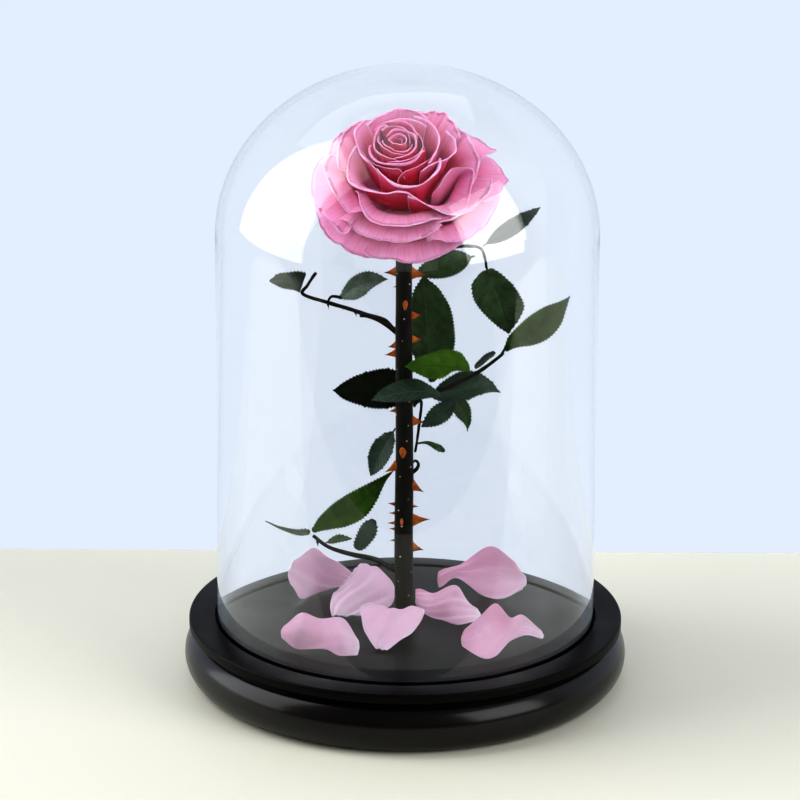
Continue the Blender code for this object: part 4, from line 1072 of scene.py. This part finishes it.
# %% [markdown]
# ## Leaves
# A rose leaf is a pointed oval with a saw-toothed edge, folded a little along its midrib. The grid of
# each leaf has four rows to a tooth, so that the teeth are cut into the outline itself. A thin rod
# under the midrib carries on as the leaf's stalk.

# %% Leaves
# Leaves: name, base, tip, width, the way the upper face looks, fold, bend, petiole share, skin
LEAVES = (
    ("far_left", (-52.6, 4.2, 199.4), (-67.7, 6, 204.4), 10, (0.2, -0.8, 0.6), 14, 1.5, 0.05, LEAF_GREY),
    ("upper_left", (-33.4, 2, 197), (-9.6, 3, 206.4), 10.5, (0, -0.8, 0.6), 16, 2.5, 0.08, LEAF_PAINTED_SHEEN),
    ("back_upper", (12.6, 9, 153), (7.8, 17, 203.5), 26.5, (-0.1, -1, 0.2), 10, -2, 0.18, LEAF_DARK),
    ("behind_bloom", (33.2, 18.2, 213.6), (3.2, 8.6, 206.6), 14, (0.1, -0.85, 0.5), 12, 1.5, 0.06,
        LEAF_DARK),
    ("upper_far_right", (37.2, 24.6, 216.8), (65.7, 30, 235.4), 9, (-0.3, -0.9, 0.3), 18, -4, 0.06,
        LEAF_GREY),
    ("upper_right", (39.6, 24, 204.6), (50.4, 22, 173.4), 26, (0.1, -1, 0.15), 8, 1.5, 0.02, LEAF_DARK),
    ("far_right", (48.6, 8.4, 169.2), (80.6, 14, 195), 15.5, (0.2, -0.9, 0.4), 14, 2, 0.04, LEAF_OLIVE),
    ("front_middle", (31, 1.4, 161.2), (-0.9, -12, 167.7), 15, (0, -0.8, 0.6), 10, 2, 0.08, LEAF_BRIGHT),
    ("small_right", (33.6, 7.4, 160.6), (43.4, 12.6, 167.2), 4.6, (-0.4, -0.6, 0.7), 12, 0.6, 0.2,
        LEAF_GREY),
    ("front_across", (16.6, -2, 150.6), (-16.9, -14, 151.4), 13.5, (0, -0.6, 0.8), 14, 2.6, 0.08,
        LEAF_GREY),
    ("back_left", (2, 9.4, 147.4), (-36.4, 12, 147.6), 20, (0, -0.95, 0.3), 8, 1.5, 0.04, LEAF_SHADED),
    ("lower_right", (12.6, 7, 146.6), (46.2, 10, 147.9), 15, (-0.1, -0.7, 0.7), 14, 3, 0.05, LEAF_GREY),
    ("under_right_near", (25, 8.4, 143.8), (7.4, 4.6, 131.8), 10, (0.4, -0.8, 0.5), 10, 1.5, 0.05,
        LEAF_GREY),
    ("under_right_far", (24.8, 10.4, 143.4), (30.4, 13, 126.8), 10.5, (0.5, -0.85, 0.1), 10, 1.5, 0.05,
        LEAF_DARK),
    ("small_spoon", (5.6, 4.4, 123.6), (19, 0.5, 121), 4.8, (0.2, -0.6, 0.8), 10, 2.4, 0.45, LEAF_DARK),
    ("middle_left", (-5.6, 9.6, 129.2), (-17.6, 13, 104), 12, (-0.5, -0.85, 0.15), 12, 1.5, 0.06,
        LEAF_GREY),
    ("lower_left", (-45.6, 1.6, 79.4), (-6, 9, 108.3), 15.5, (0.1, -0.85, 0.5), 12, 2.2, 0.03, LEAF_OLIVE),
    ("low_far_left", (-46.9, 1, 78.6), (-68.5, 4, 83.6), 5.6, (0.1, -0.6, 0.8), 12, -1.6, 0.05, LEAF_GREY),
    ("low_small", (-39.6, -1.4, 74.4), (-26.2, -4, 77.7), 5, (0, -0.6, 0.8), 12, 1.4, 0.08, LEAF_DARK),
    ("low_round", (-24, 1.6, 70.2), (-15.6, 5, 84.4), 9.4, (0.2, -0.95, 0.2), 10, 1, 0.06, LEAF_GREY),
)
# Outlines that are not plain ovals: widths left and right of the line from base to tip, at the shares
# of its length below, and how far the midrib bows to the right
STATIONS = (0.0, 0.12, 0.3, 0.5, 0.7, 0.88, 1.0)
OUTLINES = {
    "far_left": ((0.3, 0.4, 1.4, 2.2, 1.9, 1.1, 0.2), (9.6, 9.4, 8.4, 7, 5.6, 3.2, 0.6), 2),
    "upper_left": ((0.8, 3, 5.6, 7, 6.5, 3.8, 0), (0.4, 2.6, 5.2, 4.9, 2.6, 1, 0), -1),
    "back_upper": ((1, 4.5, 9.5, 11, 9, 5, 0.2), (1, 6, 12.5, 13.6, 12.2, 7, 0.2), 0),
    "upper_right": ((2.5, 6, 9.2, 11.4, 11.6, 6.2, 0), (3, 9.8, 11.4, 10, 7, 3.5, 0), -0.5),
    "far_right": ((1.5, 4.6, 5.7, 5.9, 4.4, 1.5, 0), (0.8, 2.4, 6.4, 8.7, 7.6, 3.4, 0), 1.6),
    "front_middle": ((0.3, 0.4, 1.8, 6.2, 6.2, 3.2, 0), (3.4, 8.2, 9, 8.3, 6, 3.2, 0), 0.6),
    "small_right": ((0.6, 1.6, 1.9, 2, 2, 1.7, 0.7), (0.6, 1.6, 1.9, 2, 2, 1.7, 0.7), 0),
    "front_across": ((0.8, 2.6, 4.6, 5.6, 5, 3, 0), (1.2, 4.6, 7.4, 7.8, 6.4, 3.6, 0), 1),
    "back_left": ((2, 6.2, 8, 8.1, 6.3, 3.6, 0), (3, 9.6, 11.4, 10.2, 7.6, 3.6, 0), 1),
    "lower_right": ((1.5, 5.6, 8.2, 10.2, 9.4, 5.6, 0), (1.4, 4.6, 6.8, 5.8, 2.4, 0.3, 0), -1.2),
    "under_right_far": ((2.4, 4.4, 4.8, 4.4, 3, 1.2, 0), (1.6, 3.8, 4.6, 3, 1.2, 0.4, 0), -0.8),
    "small_spoon": ((0.6, 0.8, 1, 1.3, 1.6, 1.4, 0.5), (0.5, 0.5, 0.8, 1.8, 2.8, 2.6, 0.8), -1.3),
    "lower_left": ((1, 3.4, 4.6, 4.2, 2.7, 0.8, 0), (0.9, 4, 8.6, 10.4, 7.2, 1.9, 0.2), 2.9),
    "low_far_left": ((0.8, 2.2, 2.4, 2, 1.2, 0.6, 0.2), (1.2, 2.3, 1.3, 0.3, 0.3, 0.4, 0.2), -0.5),
    "low_round": ((1.6, 3.2, 4, 4.5, 4.5, 3.3, 0.8), (1.6, 3.2, 4, 4.5, 4.5, 3.3, 0.8), 0),
}
TOOTH_LENGTH = 1.6
TOOTH_DEPTH = 1.25
LEAF_THICKNESS = 0.3


def leaf_frame(base, tip, facing):
    base, tip = np.array(base), np.array(tip)
    ahead = unit(tip - base)
    side = unit(np.cross(ahead, facing))
    return base, tip, side, np.cross(side, ahead)


def leaf_sides(name, width, petiole, t):
    """Widths to the left and the right of the midrib along the leaf, and the bow of the midrib."""
    if name in OUTLINES:
        left, right, bow = OUTLINES[name]
        fine = np.interp(t, STATIONS, np.linspace(0, 1, len(STATIONS)))
        left, right = (through(np.array(side)[:, None], fine)[..., 0] for side in (left, right))
        middle = bow * np.sin(math.pi * t)
        return left + middle, right - middle, middle
    blade = np.clip((t - petiole) / (1 - petiole), 0.0, 1.0)
    half = 0.5 * width * np.sin(math.pi * blade ** 0.85) ** 0.8
    return half, half, 0.0 * t


def leaf_grid(name, base, tip, width, facing, fold, bend, petiole, seed):
    base, tip, side, face = leaf_frame(base, tip, facing)
    length = np.linalg.norm(tip - base)
    teeth = max(6, int(length / TOOTH_LENGTH))
    t, u = np.meshgrid(np.linspace(0, 1, 4 * teeth + 1), np.linspace(-1, 1, 17), indexing="ij")
    left, right, middle = leaf_sides(name, width, petiole, t)
    # Each tooth grows towards the tip and then falls back at once
    half = np.where(u < 0, left, right)
    tooth = TOOTH_DEPTH * (np.mod(t * teeth, 1.0) - 0.5) * np.clip(0.4 * half, 0.0, 1.0)
    half = np.maximum(half + tooth, 0.25)
    # The two halves fold up from the midrib, wave a little and carry a pleat at each side vein
    wave = 0.05 * width * smooth_noise(seed, 2.5 * t, 4, 2.0) * u * u
    pleats = np.cos(2 * math.pi * (SIDE_VEINS * t - VEIN_CLIMB * np.abs(u)))
    crease = pleats * np.abs(u) * (1 - np.abs(u)) * np.minimum(1, 0.4 * half)
    lift = half * np.abs(u) * math.sin(math.radians(fold)) + wave + 0.3 * crease
    arch = bend * np.sin(math.pi * t)
    along = base + (tip - base) * t[..., None]
    across = middle + half * u * math.cos(math.radians(fold))
    return along + face * (arch + lift)[..., None] + side * across[..., None]


def make_leaf(name, base, tip, width, facing, fold, bend, petiole, skin, seed):
    grid = leaf_grid(name, base, tip, width, facing, fold, bend, petiole, seed)
    blade = sheet("leaf_blade_" + name, grid, LEAF_THICKNESS, skin)
    base, tip, side, face = leaf_frame(base, tip, facing)
    t = np.linspace(0, 0.93, 40)
    middle = leaf_sides(name, width, petiole, t)[2]
    arch = bend * np.sin(math.pi * t) - LEAF_THICKNESS
    line = base + (tip - base) * t[:, None] + face * arch[:, None] + side * middle[:, None]
    radii = (0.34 + 0.012 * width) * (1 - 0.86 * t ** 0.7)
    midrib = rod("midrib_" + name, line, radii, skin, sides=10)
    return joined("leaf_blade_" + name, [blade, midrib])


for number, (name, *shape) in enumerate(LEAVES):
    place(make_leaf(name, *shape, seed=40 + number), "leaf_green", "leaf_" + name)
print("leaves:", len(LEAVES))

# %% [markdown]
# ## Fallen petals
# Seven petals lie on the base. Each is a bent sheet that no simple rule describes, so its shape comes
# from a small net of listed points, and a smooth surface through them makes the fine grid.

# %% Fallen petals
# Name, then rows of points (right, back, height above the disc), each from upper to lower edge
FALLEN = (
    ("back_left", (
        ((-25, 55, 9), (-27, 52, 6), (-28, 50, 2)),
        ((-36, 51, 16), (-39, 50, 8), (-43, 46, 1)),
        ((-45, 52, 22), (-49, 47, 10), (-51, 35, 1)),
        ((-53, 49, 20), (-58, 42, 12), (-55, 35, 5)))),
    ("behind_stem", (
        ((-28, 28, 14), (-21, 36, 19), (-6, 30, 15)),
        ((-33, 25, 10), (-22, 25, 13), (-5, 23, 10)),
        ((-36, 24, 6), (-27, 17, 7), (-6, 18, 5)),
        ((-39, 10, 1), (-30, 9, 1), (-10, 12, 1)))),
    ("front", (
        ((-24, -10, 17), (-6, -9, 11), (11, -15, 16)),
        ((-22, -18, 12), (-7, -17, 6), (9, -19, 11)),
        ((-20, -31, 7), (-9, -29, 3), (4, -29, 6)),
        ((-17, -42, 3), (-10, -43, 1), (-2, -39, 4)))),
    ("right_of_stem", (
        ((5, 26, 12), (5, 22, 7), (5, 19, 2)),
        ((14, 23, 9), (12, 14, 6), (11, 9, 2)),
        ((25, 16, 15), (22, 6, 8), (22, -1, 1)),
        ((30, 12, 9), (37, 4, 4), (33, -4, 1)))),
    ("back_right", (
        ((17, 54, 12), (16, 50, 7), (17, 46, 1)),
        ((27, 57, 12), (26, 53, 10), (25, 51, 7)),
        ((42, 56, 22), (40, 52, 10), (38, 44, 1)),
        ((53, 50, 17), (55, 47, 9), (49, 37, 1)),
        ((57, 50, 13), (60, 44, 8), (56, 38, 4)))),
    ("front_left", (
        ((-57, -27, 10), (-60, -35, 7), (-59, -38, 2)),
        ((-50, -28, 15), (-51, -43, 12), (-52, -44, 1)),
        ((-41, -27, 12), (-41, -40, 9), (-39, -47, 2)),
        ((-30, -31, 13), (-31, -49, 11), (-32, -56, 2)),
        ((-23, -39, 7), (-22, -52, 5), (-24, -60, 1)))),
    ("front_right", (
        ((30, -39, 14), (27, -42, 7), (28, -46, 3)),
        ((37, -36, 18), (34, -43, 7), (37, -57, 1)),
        ((44, -34, 22), (43, -37, 9), (44, -52, 1)),
        ((51, -32, 14), (50, -33, 8), (51, -38, 4)),
        ((57, -28, 14), (57, -30, 9), (58, -34, 5)),
        ((65, -29, 7), (67, -32, 4), (65, -34, 2)))),
)
FALLEN_ROUNDING = 0.4
FALLEN_CLEARANCE = 0.1


def fallen_grid(net, seed):
    v = np.linspace(0, 1, 49)
    rows = through(np.array(net, float), v)
    u = np.linspace(-1, 1, 45)
    grid = []
    for share, row in zip(v, rows):
        spread = 1 - FALLEN_ROUNDING * abs(2 * share - 1) ** 4
        grid.append(through(row, 0.5 + 0.5 * spread * u))
    grid = np.array(grid) + (0, 0, BASE_HEIGHT)
    grid[..., 2] += 0.5 * smooth_noise(seed, 1.5 * u[None, :] + 2.0 * v[:, None], 5, 3.0)
    lowest = BASE_HEIGHT + FALLEN_CLEARANCE + PETAL_THICKNESS
    grid[..., 2] = np.maximum(grid[..., 2], lowest)
    return grid


for number, (name, net) in enumerate(FALLEN):
    piece = sheet("dropped_" + name, fallen_grid(net, 300 + number), PETAL_THICKNESS, PALE_PINK)
    place(piece, "pale_petal", "fallen_petal_" + name)
print("fallen petals:", len(FALLEN))

# %% [markdown]
# ## The table
# The object stands on a plain pale table. It is one large face that stays apart from the object, and
# it ends a little behind the base, where the wall begins.

# %% Table
TABLE_SIDE, TABLE_FRONT, TABLE_BACK = 2200.0, -330.0, 169.0


def make_floor():
    pale = Finish("pale_table", Base_Color=(0.455, 0.45, 0.39, 1.0), Roughness=0.6).material
    corners = [(-TABLE_SIDE, TABLE_FRONT, 0), (TABLE_SIDE, TABLE_FRONT, 0),
               (TABLE_SIDE, TABLE_BACK, 0), (-TABLE_SIDE, TABLE_BACK, 0)]
    floor = mesh_object("table_top", corners, [[0, 1, 2, 3]], pale)
    return floor


make_floor()
print("table made")

# %% [markdown]
# ## Light
# Soft daylight comes from an even cool wall behind the table and from large lamps. Two of them are
# windows: the glass mirrors them as bright patches on its shoulders, and so does the polished bead. The
# soft lamps light the flower, and mirrors leave them out, or they would veil the bloom.

# %% Sky and lamps
def make_sky(wall, room, floor):
    """Bright wall behind the table, a dimmer room before it, and a dark floor below the room."""
    world = bpy.data.worlds.new("daylight")
    world.use_nodes = True
    sky = Nodes(world.node_tree)
    seen = sky.node("ShaderNodeTexCoord").outputs["Generated"]
    toward = sky.node("ShaderNodeSeparateXYZ", {0: seen}).outputs
    before = sky.mix(sky.span(toward["Z"], -0.05, 0.25), (*floor, 1.0), (*room, 1.0))
    colour = sky.mix(sky.span(toward["Y"], -0.25, 0.15), before, (*wall, 1.0))
    sky.feed(sky.tree.nodes["Background"].inputs["Color"], colour)
    bpy.context.scene.world = world


def window(name, place_at, target, size, power, mirrored=True):
    light = bpy.data.lights.new(name, "AREA")
    light.shape, light.size, light.size_y = "RECTANGLE", *size
    light.energy = power
    obj = linked(name, light)
    obj.location = place_at
    obj.rotation_euler = (Vector(target) - Vector(place_at)).to_track_quat("-Z", "Y").to_euler()
    obj.visible_glossy = mirrored


make_sky(wall=(0.56, 0.61, 0.695), room=(0.16, 0.16, 0.165), floor=(0.04, 0.04, 0.04))
window("window_left", (-1.5, 0.0, 1.5), (0.0, 0.0, 1.5), (1.5, 2.8), 27.0)
window("window_right", (1.5, -1.1, 0.95), (0.0, 0.0, 0.25), (1.4, 1.4), 15.0)
window("soft_left", (-1.6, -0.2, 1.5), (0.0, 0.0, 0.4), (1.5, 2.4), 26.0, mirrored=False)
window("soft_right", (1.6, -1.0, 1.2), (0.0, 0.0, 0.2), (1.5, 1.5), 26.0, mirrored=False)
window("soft_ceiling", (-0.2, 0.6, 1.9), (0.0, 0.0, 0.2), (2.2, 1.8), 9.0, mirrored=False)
window("soft_front", (-0.3, -2.5, 1.2), (0.0, 0.0, 0.2), (2.6, 2.2), 13.0, mirrored=False)
print("lights made")

# %% [markdown]
# ## The camera
# The camera looks down a little with a long lens, from far enough that the upright glass stays upright.
# The view is shown with the plain standard transform and a firm contrast, which keeps the wood black.

# %% Camera
PITCH, ROLL = math.radians(19.44), math.radians(0.31)
TARGET = np.array((-3.2, 0.0, 144.83))
DISTANCE = 2600.0
# Focal length and width of the picture in pixels, and the sensor's width in millimetres
FOCAL, FRAME_WIDTH = 5280.0, 800.0
SENSOR_WIDTH = 36.0


def make_camera():
    ahead = np.array((0.0, math.cos(PITCH), -math.sin(PITCH)))
    right = np.array((1.0, 0.0, 0.0))
    up = np.cross(right, ahead)
    right, up = (math.cos(ROLL) * right + math.sin(ROLL) * up,
                 math.cos(ROLL) * up - math.sin(ROLL) * right)
    data = bpy.data.cameras.new("camera")
    data.sensor_width = SENSOR_WIDTH
    data.lens = FOCAL / FRAME_WIDTH * SENSOR_WIDTH
    data.clip_end = 20.0
    camera = linked("camera", data)
    place_at = (TARGET - ahead * DISTANCE) * MM
    turn = Matrix((right, up, -ahead)).transposed().to_4x4()
    camera.matrix_world = Matrix.Translation(Vector(place_at)) @ turn
    bpy.context.scene.camera = camera


make_camera()
view = bpy.context.scene.view_settings
view.view_transform, view.look = "Standard", "High Contrast"
print("camera made")
